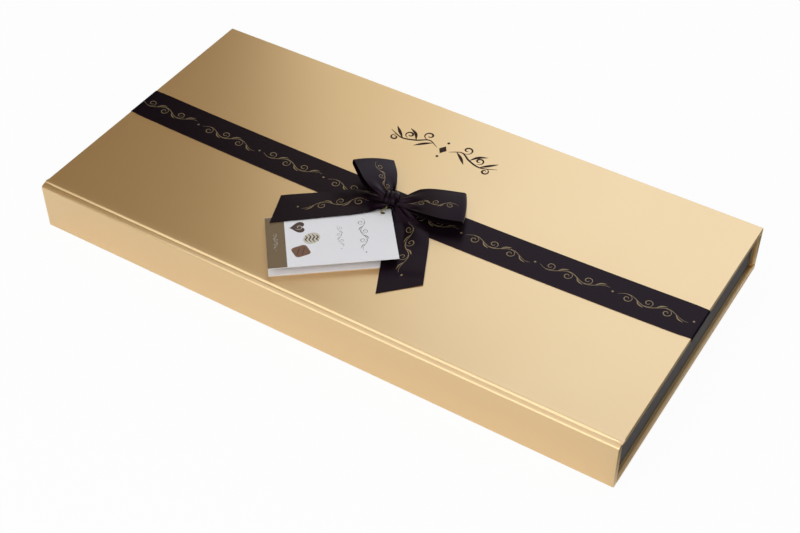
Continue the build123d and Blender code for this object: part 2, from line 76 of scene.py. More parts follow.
class Body(Enum):
    """The three moving parts of the case."""

    CASE = "case"
    LID = "lid"
    FLAP = "flap"


class Coordinates(Enum):
    """Where a pattern takes its place from."""

    OBJECT = "Object"
    SURFACE = "UV"


# Shader kit


class Signal:
    """One number in a node tree, on which Python's operators add Math nodes."""

    def __init__(self, recipe: "Recipe", socket: bpy.types.NodeSocket) -> None:
        """Keeps the socket that carries the number."""
        self.recipe = recipe
        self.socket = socket

    def math(self, operation: str, *others: "Signal | float") -> "Signal":
        """Adds one Math node that takes this number first and then the others."""
        values = {place + 1: value for place, value in enumerate(others)}
        return self.recipe.signal("ShaderNodeMath", {"operation": operation}, {0: self, **values})

    def __add__(self, other: "Signal | float") -> "Signal":
        """Sum."""
        return self.math("ADD", other)

    __radd__ = __add__

    def __mul__(self, other: "Signal | float") -> "Signal":
        """Product."""
        return self.math("MULTIPLY", other)

    __rmul__ = __mul__

    def __rsub__(self, other: float) -> "Signal":
        """Difference from a number."""
        return self * -1.0 + other

    def __abs__(self) -> "Signal":
        """Size without its sign."""
        return self.math("ABSOLUTE")

    def wave(self) -> "Signal":
        """Sine of the number."""
        return self.math("SINE")

    def about(self, middle: float, spread: float) -> "Signal":
        """A number from 0 to 1 spread evenly about a middle."""
        return self * spread + (middle - spread / 2)

    def within(self, low: float, high: float) -> "Signal":
        """Smooth step from 0 at low to 1 at high."""
        return self.recipe.signal("ShaderNodeMapRange", {"interpolation_type": "SMOOTHSTEP"},
                                  {"Value": self, "From Min": low, "From Max": high})


class Recipe:
    """Builds the node tree of a material or of the world."""

    def __init__(self, owner: bpy.types.Material | bpy.types.World) -> None:
        """Starts with an empty tree."""
        self.owner = owner
        self.owner.use_nodes = True
        self.tree = owner.node_tree
        self.tree.nodes.clear()

    def add(self, kind: str, settings: dict | None = None, sockets: dict | None = None) -> bpy.types.Node:
        """Adds a node, sets it and then feeds its sockets.

        Args:
            kind: The node's type.
            settings: Its own settings.
            sockets: Values, which are set on the socket itself, or links, by the socket's name or place.

        Returns:
            The node.
        """
        node = self.tree.nodes.new(kind)
        for key, value in (settings or {}).items():
            setattr(node, key, value)
        for key, value in (sockets or {}).items():
            source = value.socket if isinstance(value, Signal) else value
            if isinstance(source, bpy.types.NodeSocket):
                self.tree.links.new(source, node.inputs[key])
            else:
                node.inputs[key].default_value = source
        return node

    def signal(self, kind: str, settings: dict | None = None, sockets: dict | None = None,
               output: int | str = 0) -> Signal:
        """Adds a node as add does and gives the number at one of its outputs."""
        return Signal(self, self.add(kind, settings, sockets).outputs[output])

    def place(self, source: Coordinates, scale: Triple = (1.0, 1.0, 1.0)) -> bpy.types.NodeSocket:
        """Coordinates of the piece, in metres, stretched."""
        texture = self.add("ShaderNodeTexCoord").outputs[source.value]
        return self.add("ShaderNodeMapping", None, {"Vector": texture, "Scale": scale}).outputs[0]

    def split(self, vector: bpy.types.NodeSocket) -> list[Signal]:
        """The three numbers of a vector."""
        node = self.add("ShaderNodeSeparateXYZ", None, {0: vector})
        return [Signal(self, output) for output in node.outputs]

    def noise(self, vector: bpy.types.NodeSocket, scale: float, detail: float = 2.0,
              roughness: float = 0.5) -> Signal:
        """Noise from 0 to 1 at a scale in cells a metre."""
        return self.signal("ShaderNodeTexNoise", None, {
            "Vector": vector, "Scale": scale, "Detail": detail, "Roughness": roughness})

    def mix(self, share: "Signal | float", first: Triple, second: Triple) -> bpy.types.NodeSocket:
        """Blends two colours."""
        return self.add("ShaderNodeMix", {"data_type": "RGBA"}, {
            0: share, 6: (*first, 1.0), 7: (*second, 1.0)}).outputs[2]

    def wear(self) -> Signal:
        """How near a point is to a rounded edge, from the mesh's own attribute."""
        return self.signal("ShaderNodeAttribute", {"attribute_name": "wear"}, None, "Fac")

    def ray(self, kind: str) -> Signal:
        """Whether a ray is of one kind."""
        return self.signal("ShaderNodeLightPath", None, None, kind)

    def bump(self, height: Signal, strength: float, depth: float) -> bpy.types.NodeSocket:
        """A normal bent by a height."""
        return self.add("ShaderNodeBump", None, {"Height": height, "Strength": strength,
                                                 "Distance": depth}).outputs[0]

    def glaze(self, **sockets: object) -> bpy.types.NodeSocket:
        """A Principled shader with the given sockets, named with underscores for spaces."""
        values = {key.replace("_", " "): value for key, value in sockets.items()}
        return self.add("ShaderNodeBsdfPrincipled", None, values).outputs[0]

    def layered(self, share: "Signal | float", first: bpy.types.NodeSocket,
                second: bpy.types.NodeSocket) -> bpy.types.NodeSocket:
        """Two shaders as one."""
        return self.add("ShaderNodeMixShader", None, {0: share, 1: first, 2: second}).outputs[0]

    def finish(self, shader: bpy.types.NodeSocket) -> bpy.types.Material:
        """Ends a material's tree with its output."""
        self.add("ShaderNodeOutputMaterial", None, {0: shader})
        return self.owner


# Finishes


@dataclass(frozen=True)
class GoldPaper:
    """Satin metallic wrap: a warm gold ground under a pale pearl lustre."""

    name: str = "gold_paper"
    ground: Triple = (0.80, 0.44, 0.14)
    ground_worn: Triple = (0.84, 0.54, 0.24)
    ground_metallic: float = 0.6
    ground_roughness: float = 0.6
    lustre: Triple = (1.0, 0.87, 0.60)
    lustre_cool: Triple = (0.96, 0.83, 0.57)
    lustre_share: float = 0.5
    lustre_roughness: float = 0.25
    fibre_scale: float = 900.0
    fibre_stretch: Triple = (0.35, 1.0, 1.0)
    fibre_share: float = 0.7
    pearl_scale: float = 2600.0
    pearl_roughness: float = 0.06
    cloud_scale: float = 14.0
    cloud_roughness: float = 0.05
    rub_scale: float = 260.0
    rub_range: Pair = (0.46, 0.72)
    rub_share: float = 0.7
    rub_roughness: float = 0.12
    relief: float = 0.10
    relief_depth: float = 0.03 * MM

    def paint(self) -> bpy.types.Material:
        """Builds the material: cloudy lustre, fine pearl grain, fibre relief and rubbed edges."""
        recipe = Recipe(bpy.data.materials.new(self.name))
        place = recipe.place(Coordinates.OBJECT)
        stretched = recipe.place(Coordinates.OBJECT, self.fibre_stretch)
        fibres = recipe.noise(stretched, self.fibre_scale, detail=4.0)
        pearl = recipe.noise(place, self.pearl_scale, detail=1.0)
        clouds = recipe.noise(place, self.cloud_scale, detail=3.0)
        rub = recipe.wear() * recipe.noise(place, self.rub_scale, detail=3.0).within(*self.rub_range)
        height = fibres * self.fibre_share + pearl * (1 - self.fibre_share)
        normal = recipe.bump(height, self.relief, self.relief_depth)
        roughness = (clouds * self.cloud_roughness + pearl * self.pearl_roughness
                     + rub * self.rub_roughness + self.lustre_roughness)
        ground = recipe.glaze(Base_Color=recipe.mix(rub * self.rub_share, self.ground, self.ground_worn),
                              Metallic=self.ground_metallic, Roughness=self.ground_roughness, Normal=normal)
        lustre = recipe.glaze(Base_Color=recipe.mix(clouds, self.lustre, self.lustre_cool),
                              Metallic=1.0, Roughness=roughness, Normal=normal)
        return recipe.finish(recipe.layered(self.lustre_share, ground, lustre))


@dataclass(frozen=True)
class Paper:
    """Plain paper or board: a colour with fibres and a little mottling."""

    name: str
    colour: Triple
    second: Triple
    roughness: float
    metallic: float = 0.0
    fibre_scale: float = 1100.0
    fibre_stretch: Triple = (1.0, 0.4, 1.0)
    mottle_scale: float = 60.0
    mottle_share: float = 0.5
    roughness_spread: float = 0.1
    relief: float = 0.18
    relief_depth: float = 0.04 * MM

    def paint(self) -> bpy.types.Material:
        """Builds the material."""
        recipe = Recipe(bpy.data.materials.new(self.name))
        stretched = recipe.place(Coordinates.OBJECT, self.fibre_stretch)
        fibres = recipe.noise(stretched, self.fibre_scale, detail=5.0, roughness=0.6)
        mottle = recipe.noise(recipe.place(Coordinates.OBJECT), self.mottle_scale, detail=3.0)
        shade = fibres * (1 - self.mottle_share) + mottle * self.mottle_share
        return recipe.finish(recipe.glaze(
            Base_Color=recipe.mix(shade, self.colour, self.second),
            Metallic=self.metallic, Roughness=mottle.about(self.roughness, self.roughness_spread),
            Normal=recipe.bump(fibres, self.relief, self.relief_depth)))


@dataclass(frozen=True)
class Satin:
    """Ribbon satin: long warp threads crossed by a fine weft, with a firm selvedge."""

    name: str = "ribbon_satin"
    colour: Triple = (0.0030, 0.0012, 0.0023)
    thread: Triple = (0.0074, 0.0030, 0.0058)
    roughness: float = 0.30
    roughness_spread: float = 0.16
    specular: float = 0.15
    specular_tint: Triple = (1.0, 0.66, 0.92)
    selvedge: float = 0.55 * MM
    selvedge_fade: float = 0.22 * MM
    selvedge_height: float = 2.0
    warp_pitch: float = 0.30 * MM
    warp_height: float = 0.5
    weft_pitch: float = 0.42 * MM
    weft_height: float = 0.3
    streak_scale: float = 1900.0
    streak_stretch: Triple = (0.06, 1.0, 1.0)
    streak_share: float = 0.75
    relief: float = 0.22
    relief_depth: float = 0.04 * MM

    def paint(self) -> bpy.types.Material:
        """Builds the material on the ribbon's own coordinates, along it and across it in metres."""
        recipe = Recipe(bpy.data.materials.new(self.name))
        along, across, _ = recipe.split(recipe.place(Coordinates.SURFACE))
        warp = (across * (TURN / self.warp_pitch)).wave()
        weft = (along * (TURN / self.weft_pitch)).wave()
        stretched = recipe.place(Coordinates.SURFACE, self.streak_stretch)
        streaks = recipe.noise(stretched, self.streak_scale, detail=3.0)
        start = RIBBON_WIDTH / 2 - self.selvedge
        edge = abs(across).within(start, start + self.selvedge_fade)
        shade = streaks * self.streak_share + edge * (1 - self.streak_share)
        height = warp * self.warp_height + weft * self.weft_height + streaks + edge * self.selvedge_height
        return recipe.finish(recipe.glaze(
            Base_Color=recipe.mix(shade, self.colour, self.thread),
            Roughness=streaks.about(self.roughness, self.roughness_spread),
            Normal=recipe.bump(height, self.relief, self.relief_depth),
            Specular_IOR_Level=self.specular, Specular_Tint=(*self.specular_tint, 1.0)))


@dataclass(frozen=True)
class Print:
    """Ink or foil laid on paper or cloth, a little broken by what is under it."""

    name: str
    colour: Triple
    second: Triple
    metallic: float = 0.0
    roughness: float = 0.5
    specular: float = 0.5
    roughness_spread: float = 0.2
    break_scale: float = 1500.0
    break_range: Pair = (0.35, 0.75)
    relief: float = 0.15
    relief_depth: float = 0.02 * MM

    def paint(self) -> bpy.types.Material:
        """Builds the material."""
        recipe = Recipe(bpy.data.materials.new(self.name))
        broken = recipe.noise(recipe.place(Coordinates.OBJECT), self.break_scale, detail=3.0)
        return recipe.finish(recipe.glaze(
            Base_Color=recipe.mix(broken.within(*self.break_range), self.colour, self.second),
            Metallic=self.metallic, Roughness=broken.about(self.roughness, self.roughness_spread),
            Specular_IOR_Level=self.specular, Normal=recipe.bump(broken, self.relief, self.relief_depth)))


@dataclass(frozen=True)
class Twine:
    """Two strands of metallic thread laid together, as slanted lines along the cord, with painted shade in
    the grooves between them.
    """

    name: str = "tag_cord"
    colour: Triple = (0.50, 0.38, 0.10)
    # painted shade: the darker colour of the grooves between the strands
    groove_shade: Triple = (0.13, 0.09, 0.02)
    lay_pitch: float = 0.75 * MM
    lay_climb: float = 1.4
    strand_range: Pair = (-0.9, 0.3)
    metallic: float = 0.75
    groove_roughness: float = 0.5
    strand_polish: float = 0.15
    relief: float = 0.5
    relief_depth: float = 0.08 * MM

    def paint(self) -> bpy.types.Material:
        """Builds the material."""
        recipe = Recipe(bpy.data.materials.new(self.name))
        x, y, z = recipe.split(recipe.place(Coordinates.OBJECT))
        lay = ((x + y + z * self.lay_climb) * (TURN / self.lay_pitch)).wave()
        strand = lay.within(*self.strand_range)
        # the strands take the cord's colour, and the grooves between them take painted shade
        return recipe.finish(recipe.glaze(
            Base_Color=recipe.mix(strand, self.groove_shade, self.colour), Metallic=self.metallic,
            Roughness=self.groove_roughness - self.strand_polish * strand,
            Normal=recipe.bump(lay, self.relief, self.relief_depth)))


@dataclass(frozen=True)
class Glossy:
    """Moulded or formed sheet, metal and poured chocolate: a smooth skin with a faint ripple."""

    name: str
    colour: Triple
    second: Triple
    roughness: float
    coat: float = 0.0
    metallic: float = 0.0
    roughness_spread: float = 0.2
    coat_roughness: float = 0.12
    ripple_scale: float = 90.0
    ripple_range: Pair = (0.3, 0.7)
    ripple_share: float = 0.7
    grain_scale: float = 1200.0
    grain_height: float = 0.15
    relief: float = 0.12
    relief_depth: float = 0.3 * MM

    def paint(self) -> bpy.types.Material:
        """Builds the material."""
        recipe = Recipe(bpy.data.materials.new(self.name))
        place = recipe.place(Coordinates.OBJECT)
        ripple = recipe.noise(place, self.ripple_scale, detail=3.0)
        grain = recipe.noise(place, self.grain_scale)
        uneven = ripple * self.ripple_share + grain * (1 - self.ripple_share)
        return recipe.finish(recipe.glaze(
            Base_Color=recipe.mix(ripple.within(*self.ripple_range), self.colour, self.second),
            Metallic=self.metallic, Roughness=uneven.about(self.roughness, self.roughness_spread),
            Coat_Weight=self.coat, Coat_Roughness=self.coat_roughness,
            Normal=recipe.bump(ripple + grain * self.grain_height, self.relief, self.relief_depth)))


FINISHES = {finish.name: finish for finish in (
    GoldPaper(), Satin(), Twine(),
    Paper("lining_paper", (0.34, 0.225, 0.10), (0.42, 0.29, 0.14), 0.42, 0.55),
    Paper("tray_paper", (0.080, 0.070, 0.074), (0.105, 0.094, 0.098), 0.62),
    Paper("greyboard", (0.36, 0.34, 0.31), (0.48, 0.46, 0.42), 0.85),
    Paper("ribbon_tape", (0.60, 0.56, 0.46), (0.70, 0.66, 0.56), 0.45),
    Paper("tag_card", (0.86, 0.835, 0.88), (0.91, 0.89, 0.93), 0.5, fibre_scale=1500.0, relief=0.08),
    Paper("pad_paper", (0.40, 0.27, 0.12), (0.50, 0.36, 0.18), 0.36, 0.6),
    Glossy("insert_plastic", (0.20, 0.115, 0.045), (0.25, 0.15, 0.06), 0.20, 0.6, 0.3),
    Glossy("milk_chocolate", (0.155, 0.055, 0.021), (0.185, 0.070, 0.028), 0.34, 0.15),
    Glossy("dark_chocolate", (0.038, 0.0145, 0.008), (0.052, 0.020, 0.011), 0.28, 0.3),
    Glossy("white_chocolate", (0.70, 0.54, 0.34), (0.78, 0.63, 0.42), 0.36, 0.15),
    Glossy("magnet_metal", (0.55, 0.55, 0.56), (0.62, 0.62, 0.62), 0.25, 0.0, 1.0),
    Glossy("catch_steel", (0.42, 0.42, 0.43), (0.50, 0.50, 0.50), 0.4, 0.0, 1.0),
    Print("gold_foil", (0.36, 0.26, 0.14), (0.24, 0.17, 0.09), 0.5, 0.45),
    Print("brown_ink", (0.030, 0.011, 0.007), (0.046, 0.020, 0.012), specular=0.12),
    Print("tag_brown_ink", (0.195, 0.130, 0.068), (0.175, 0.115, 0.060)),
    Print("tag_grey_ink", (0.23, 0.21, 0.22), (0.33, 0.31, 0.32), 0.0, 0.55),
    Print("tag_milk_ink", (0.17, 0.075, 0.045), (0.24, 0.115, 0.07)),
    Print("tag_dark_ink", (0.060, 0.030, 0.024), (0.10, 0.055, 0.045)),
    Print("tag_cream_ink", (0.62, 0.55, 0.46), (0.70, 0.64, 0.56)),
)}


@cache
def painted(name: str) -> bpy.types.Material:
    """The material of a finish, built once."""
    return FINISHES[name].paint()


# Mesh kit


def grid_faces(rows: int, columns: int, closed_rows: bool = False,
               closed_columns: bool = False) -> np.ndarray:
    """Quads of a grid of points counted row by row.

    Args:
        rows: Points down.
        columns: Points across.
        closed_rows: Whether the last row joins the first.
        closed_columns: Whether the last column joins the first.

    Returns:
        An array of four point numbers a face.
    """
    row = np.arange(rows if closed_rows else rows - 1)[:, None]
    column = np.arange(columns if closed_columns else columns - 1)[None, :]
    below = (row + 1) % rows * columns
    beside = (column + 1) % columns
    row = row * columns
    return np.stack([row + column, row + beside, below + beside, below + column], -1).reshape(-1, 4)


def to_unit(vectors: np.ndarray) -> np.ndarray:
    """Vectors brought to length one."""
    return vectors / np.maximum(np.linalg.norm(vectors, axis=-1, keepdims=True), 1e-15)


def normals_of(points: np.ndarray) -> np.ndarray:
    """Unit normals of a grid of points: the cross product of its two directions."""
    return to_unit(np.cross(np.gradient(points, axis=0), np.gradient(points, axis=1)))


def lengths_along(path: np.ndarray) -> np.ndarray:
    """Length of a path of points up to each of them."""
    return np.concatenate([[0.0], np.cumsum(np.linalg.norm(np.diff(path, axis=0), axis=1))])


def smoothstep(value: np.ndarray | float, low: float = 0.0, high: float = 1.0) -> np.ndarray:
    """Smooth rise from 0 at low to 1 at high: t squared times 3 less 2 t."""
    share = np.clip((value - low) / (high - low), 0.0, 1.0)
    return share * share * (3.0 - 2.0 * share)


def cubic_spans(knots: np.ndarray, values: np.ndarray, slopes: np.ndarray, at: np.ndarray) -> np.ndarray:
    """A curve of cubic spans: values blended by a smooth rise, plus each slope, faded out across its span.

    Args:
        knots: Rising places.
        values: The value or point at each knot.
        slopes: The curve's slope at each knot.
        at: Places to work out.

    Returns:
        The value or point at each place.
    """
    span = np.clip(np.searchsorted(knots, at, side="right") - 1, 0, len(knots) - 2)
    width = knots[span + 1] - knots[span]
    share = np.clip((at - knots[span]) / width, 0.0, 1.0)
    if values.ndim > 1:
        width, share = width[..., None], share[..., None]
    rise = smoothstep(share)
    bend = slopes[span] * share * (1 - share) ** 2 - slopes[span + 1] * share**2 * (1 - share)
    return values[span] * (1 - rise) + values[span + 1] * rise + bend * width


def curve_through(points: tuple[Pair, ...], count: int) -> np.ndarray:
    """A smooth curve through points, spaced by the length of the straight runs between them.

    Args:
        points: What the curve passes.
        count: How many points to give.

    Returns:
        The curve's points.
    """
    given = np.asarray(points, float)
    knots = lengths_along(given)
    knots = knots / knots[-1]
    return cubic_spans(knots, given, np.gradient(given, knots, axis=0), np.linspace(0, 1, count))


class Table:
    """A smooth curve through pairs of numbers that never swings past them."""

    def __init__(self, pairs: tuple[Pair, ...], unit: float = MM) -> None:
        """Works out the slope at each pair: the harmonic mean of the slopes beside it, or none at a turn.

        Args:
            pairs: Places and values.
            unit: Size of the pairs' unit in metres, or 1 for shares.
        """
        self.places, self.values = np.array(pairs).T * unit
        slopes = np.diff(self.values) / np.diff(self.places)
        product = slopes[:-1] * slopes[1:]
        total = np.where(product > 0, slopes[:-1] + slopes[1:], 1.0)
        inner = np.where(product > 0, 2 * product / total, 0.0)
        self.slopes = np.concatenate([slopes[:1], inner, slopes[-1:]])

    def __call__(self, number: np.ndarray) -> np.ndarray:
        """Value of the curve at each number."""
        return cubic_spans(self.places, self.values, self.slopes, number)


@dataclass
class Mesh:
    """Points and faces on their way to become a piece."""

    points: np.ndarray
    faces: np.ndarray
    places: np.ndarray | None = None
    wear: np.ndarray | None = None

    @staticmethod
    def joined(parts: list["Mesh"]) -> "Mesh":
        """Several plain meshes as one."""
        starts = np.cumsum([0] + [len(part.points) for part in parts[:-1]])
        return Mesh(np.concatenate([part.points for part in parts]),
                    np.concatenate([part.faces + start for part, start in zip(parts, starts)]))


def closed_between(front: np.ndarray, back: np.ndarray) -> Mesh:
    """A closed body between two grids of points, with a rim where they end.

    Args:
        front: Grid of points, on the side to which its rows crossed with its columns point.
        back: The same grid on the other side.

    Returns:
        The closed mesh, faced outwards.
    """
    rows, columns = front.shape[:2]
    number = np.arange(rows * columns).reshape(rows, columns)
    rim = np.concatenate([number[0, :-1], number[:-1, -1], number[-1, :0:-1], number[:0:-1, 0]])
    following = np.roll(rim, -1)
    side = np.stack([following + number.size, rim + number.size, rim, following], -1)
    quads = grid_faces(rows, columns)
    return Mesh(np.concatenate([front.reshape(-1, 3), back.reshape(-1, 3)]),
                np.concatenate([quads[:, ::-1], quads + number.size, side]))


def thick_sheet(middle: np.ndarray, thickness: float, places: np.ndarray | None = None) -> Mesh:
    """A closed sheet on both sides of a grid of points, half its thickness off along the normals.

    Args:
        middle: Grid of points, rows by columns by three.
        thickness: Distance between its two faces.
        places: Surface coordinates of the grid, rows by columns by two.

    Returns:
        The closed mesh.
    """
    offset = normals_of(middle) * (thickness / 2)
    mesh = closed_between(middle + offset, middle - offset)
    if places is not None:
        mesh.places = np.concatenate([places.reshape(-1, 2)] * 2)
    return mesh


def rounded_slab(low: np.ndarray, high: np.ndarray, radius: float, steps: int = 4) -> Mesh:
    """A closed slab whose edges are quarter rounds and whose corners are eighths of a ball.

    Each point of the sharp box is drawn to the nearest point of a smaller box inside it, a radius away
    from every face, and then set one radius out from there.

    Args:
        low: Lowest corner.
        high: Highest corner.
        radius: Radius of the edges.
        steps: Spans in an eighth of a turn.

    Returns:
        The closed mesh, with the nearness to its edges as wear.
    """
    low, high = np.asarray(low, float), np.asarray(high, float)
    inner_low, inner_high = low + radius, high - radius
    rise = radius * np.tan(np.linspace(0, math.pi / 4, steps + 1))
    stations = [np.concatenate([inner_low[axis] - rise[::-1], inner_high[axis] + rise])
                for axis in range(3)]
    points, faces, count = [], [], 0
    for axis in range(3):
        first, second = (axis + 1) % 3, (axis + 2) % 3
        for side, level in ((-1, low[axis]), (1, high[axis])):
            across, along = np.meshgrid(stations[first], stations[second], indexing="ij")
            sheet = np.empty(across.shape + (3,))
            sheet[..., first], sheet[..., second], sheet[..., axis] = across, along, level
            quads = grid_faces(*across.shape)
            faces.append((quads[:, ::-1] if side > 0 else quads) + count)
            points.append(sheet.reshape(-1, 3))
            count += across.size
    sharp = np.concatenate(points)
    outward = to_unit(sharp - np.clip(sharp, inner_low, inner_high)) * radius
    spread = np.sort(np.abs(outward), axis=1)[:, 1]
    return Mesh(np.clip(sharp, inner_low, inner_high) + outward, np.concatenate(faces),
                wear=np.clip(spread / (RUBBED_SHARE * radius), 0.0, 1.0))


def rounded_outline(corners: tuple[Pair, ...], radii: tuple[float, ...],
                    steps: int = 8) -> tuple[np.ndarray, np.ndarray]:
    """A closed outline with an arc at each corner, and its outward normals.

    Each arc's centre lies on the corner's bisector, at the radius divided by the sine of half the corner's
    angle, and its points turn evenly from one side's normal to the next.

    Args:
        corners: Corners in order, turning to the left.
        radii: Radius at each corner.
        steps: Spans of each arc.

    Returns:
        Points and normals, one row each.
    """
    given = np.asarray(corners)
    before = to_unit(given - np.roll(given, 1, axis=0))
    normals = np.stack([before[:, 1], -before[:, 0]], -1)
    points, outward = [], []
    for corner, first, second, radius in zip(given, normals, np.roll(normals, -1, axis=0), radii):
        centre = corner - (first + second) / (1 + first @ second) * radius
        start = math.atan2(first[1], first[0])
        turn = math.atan2(first[0] * second[1] - first[1] * second[0], first @ second)
        angle = start + turn * np.linspace(0, 1, steps + 1)
        normal = np.stack([np.cos(angle), np.sin(angle)], -1)
        points.append(centre + normal * radius)
        outward.append(normal)
    return np.concatenate(points), np.concatenate(outward)


def rounded_bar(outline: np.ndarray, normals: np.ndarray, half_length: float, radius: float, inset: float,
                steps: int = 6) -> Mesh:
    """An outline across X carried along X, with rounded ends.

    Near each end the outline is drawn in along its normals as a quarter round is, and flat fans close it.

    Args:
        outline: Points of the section, as Y and Z.
        normals: Their outward normals.
        half_length: Half of the bar's length before the inset.
        radius: Radius of the ends' edges.
        inset: How far the whole bar is drawn in.
        steps: Spans of each end's quarter round.

    Returns:
        The closed bar, with the nearness to its ends as wear.
    """
    quarter = np.linspace(0, math.pi / 2, steps + 1)
    reach = half_length - inset
    rise = np.concatenate([reach - radius * (1 - np.sin(quarter)), [reach]])
    drawn = np.concatenate([radius * (1 - np.cos(quarter)), [radius]])
    stations = np.concatenate([-rise[::-1], rise])
    depth = np.concatenate([drawn[::-1], drawn])
    ring = outline[None] - normals[None] * (depth + inset)[:, None, None]
    middle = ring.mean(axis=1, keepdims=True)
    ring[0], ring[-1] = middle[0], middle[-1]
    x = np.broadcast_to(stations[:, None, None], ring.shape[:2] + (1,))
    points = np.concatenate([x, ring], -1).reshape(-1, 3)
    return Mesh(points, grid_faces(*ring.shape[:2], closed_columns=True),
                wear=np.repeat(depth / radius, len(outline)))


def show(name: str, data: bpy.types.ID) -> bpy.types.Object:
    """Puts a mesh, curve, lamp or camera into the scene."""
    shown = bpy.data.objects.new(name, data)
    bpy.context.scene.collection.objects.link(shown)
    return shown


def claim(piece: bpy.types.Object, slot: str, body: Body | None, replaces: tuple[str, ...]) -> None:
    """Hides the solids that a piece stands for, attaches it to its body and logs its slot.

    Args:
        piece: The piece.
        slot: Its material slot in the record.
        body: The body it moves with, or None if that is set later.
        replaces: The solids that it stands for.
    """
    if replaces:
        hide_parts(*replaces)
    if body is not None:
        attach(piece, body.value)
    log.info("%s in %s", piece.name, slot)


def make_piece(name: str, mesh: Mesh, finish: str, body: Body | None, replaces: tuple[str, ...] = (),
               smooth_angle: float | None = 40.0, slot: str | None = None) -> bpy.types.Object:
    """Turns a mesh into a named piece of the object, with the points joined that lie on each other.

    Args:
        name: The piece's name.
        mesh: Its points and faces, in place.
        finish: The finish it is dressed in.
        body: The body it moves with, or None if that is set later.
        replaces: The solids that it stands for.
        smooth_angle: Edges sharper than this many degrees stay sharp, or None for none at all.
        slot: The record's material slot, if it isn't the finish's own name.

    Returns:
        The new object.
    """
    data = bpy.data.meshes.new(name)
    count, sides = mesh.faces.shape
    data.vertices.add(len(mesh.points))
    data.vertices.foreach_set("co", np.ascontiguousarray(mesh.points, np.float32).ravel())
    data.loops.add(count * sides)
    data.loops.foreach_set("vertex_index", np.ascontiguousarray(mesh.faces, np.int32).ravel())
    data.polygons.add(count)
    data.polygons.foreach_set("loop_start", np.arange(0, count * sides, sides, dtype=np.int32))
    data.update(calc_edges=True)
    if mesh.places is not None:
        layer = data.uv_layers.new(name="surface")
        layer.data.foreach_set("uv", mesh.places[mesh.faces.ravel()].astype(np.float32).ravel())
    if mesh.wear is not None:
        attribute = data.attributes.new("wear", "FLOAT", "POINT")
        attribute.data.foreach_set("value", mesh.wear.astype(np.float32))
    shell = bmesh.new()
    shell.from_mesh(data)
    bmesh.ops.remove_doubles(shell, verts=shell.verts, dist=JOIN_STEP)
    shell.to_mesh(data)
    shell.free()
    data.shade_smooth()
    if smooth_angle is not None:
        data.set_sharp_from_angle(angle=math.radians(smooth_angle))
    data.materials.append(painted(finish))
    piece = show(name, data)
    claim(piece, slot or finish, body, replaces)
    return piece


# Printed ornament: strokes and spots drawn in flat coordinates and laid on a surface


def stroke(path: np.ndarray, thin: float, thick: float) -> np.ndarray:
    """A pen stroke along a path: each point is moved to both sides by a half sine, thick in its middle.

    Args:
        path: Points of the middle line, by two.
        thin: Half of its width at its ends.
        thick: Half of its width in its middle.

    Returns:
        A grid of points by two sides by two numbers.
    """
    half_width = thin + (thick - thin) * np.sin(np.linspace(0, math.pi, len(path)))
    ahead = to_unit(np.gradient(path, axis=0))
    side = np.stack([-ahead[:, 1], ahead[:, 0]], -1) * half_width[:, None]
    return np.stack([path - side, path, path + side], 1)


def spiral(middle: Pair, start: float, turns: float, radii: Pair, count: int) -> np.ndarray:
    """A curl: its radius shrinks steadily as the angle runs on.

    Args:
        middle: Its middle.
        start: The angle at which it starts.
        turns: How often it goes round, below zero for clockwise.
        radii: Its first and last radius.
        count: How many points to give.

    Returns:
        The curl's points.
    """
    angle = start + turns * np.linspace(0, TURN, count)
    radius = np.linspace(*radii, count)
    return np.stack([middle[0] + radius * np.cos(angle), middle[1] + radius * np.sin(angle)], -1)


def spot(middle: Pair, outline: np.ndarray) -> np.ndarray:
    """A filled outline: three rings of its points, from its middle out."""
    closed = np.concatenate([outline, outline[:1]])
    return np.asarray(middle) + closed[None] * np.linspace(0, 1, 3)[:, None, None]


def round_outline(length: float, width: float, power: float = 2.0, turn: float = 0.0,
                  count: int = 36) -> np.ndarray:
    """Points of an oval: at power 1 a lozenge, at 2 an ellipse, and squarer as the power grows.

    Args:
        length: Its length.
        width: Its width.
        power: Power of the two shares that add up to one.
        turn: Angle by which it is turned.
        count: How many points to give.

    Returns:
        Its points about its middle.
    """
    angle = np.linspace(0, TURN, count, endpoint=False)
    c, s = np.cos(angle), np.sin(angle)
    reach = (np.abs(c) ** power + np.abs(s) ** power) ** (-1 / power)
    points = np.stack([reach * c * length / 2, reach * s * width / 2], -1)
    return points @ np.array([[math.cos(turn), math.sin(turn)], [-math.sin(turn), math.cos(turn)]])


def printed(name: str, surface: Surface, shapes: list[np.ndarray], lift: float, body: Body, finish: str,
            slot: str) -> None:
    """Prints flat shapes on a surface, a hair above it and faced away from it.

    Args:
        name: The piece's name.
        surface: Gives a point for each pair of flat coordinates.
        shapes: Grids of flat coordinates.
        lift: Height above the surface, below zero for its other side.
        body: The body it moves with.
        finish: The ink.
        slot: The material slot of what it is printed on.
    """
    step = 0.05 * MM
    parts = []
    for shape in shapes:
        u, v = shape[..., 0], shape[..., 1]
        points = surface(u, v)
        normal = to_unit(np.cross(surface(u + step, v) - points, surface(u, v + step) - points))
        across, down = np.diff(shape, axis=1)[:-1], np.diff(shape, axis=0)[:, :-1]
        turn = np.sum(across[..., 0] * down[..., 1] - across[..., 1] * down[..., 0])
        quads = grid_faces(*u.shape)
        faces = quads if turn * lift > 0 else quads[:, ::-1]
        parts.append(Mesh((points + normal * lift).reshape(-1, 3), faces))
    make_piece(name, Mesh.joined(parts), finish, body, (), None, slot)


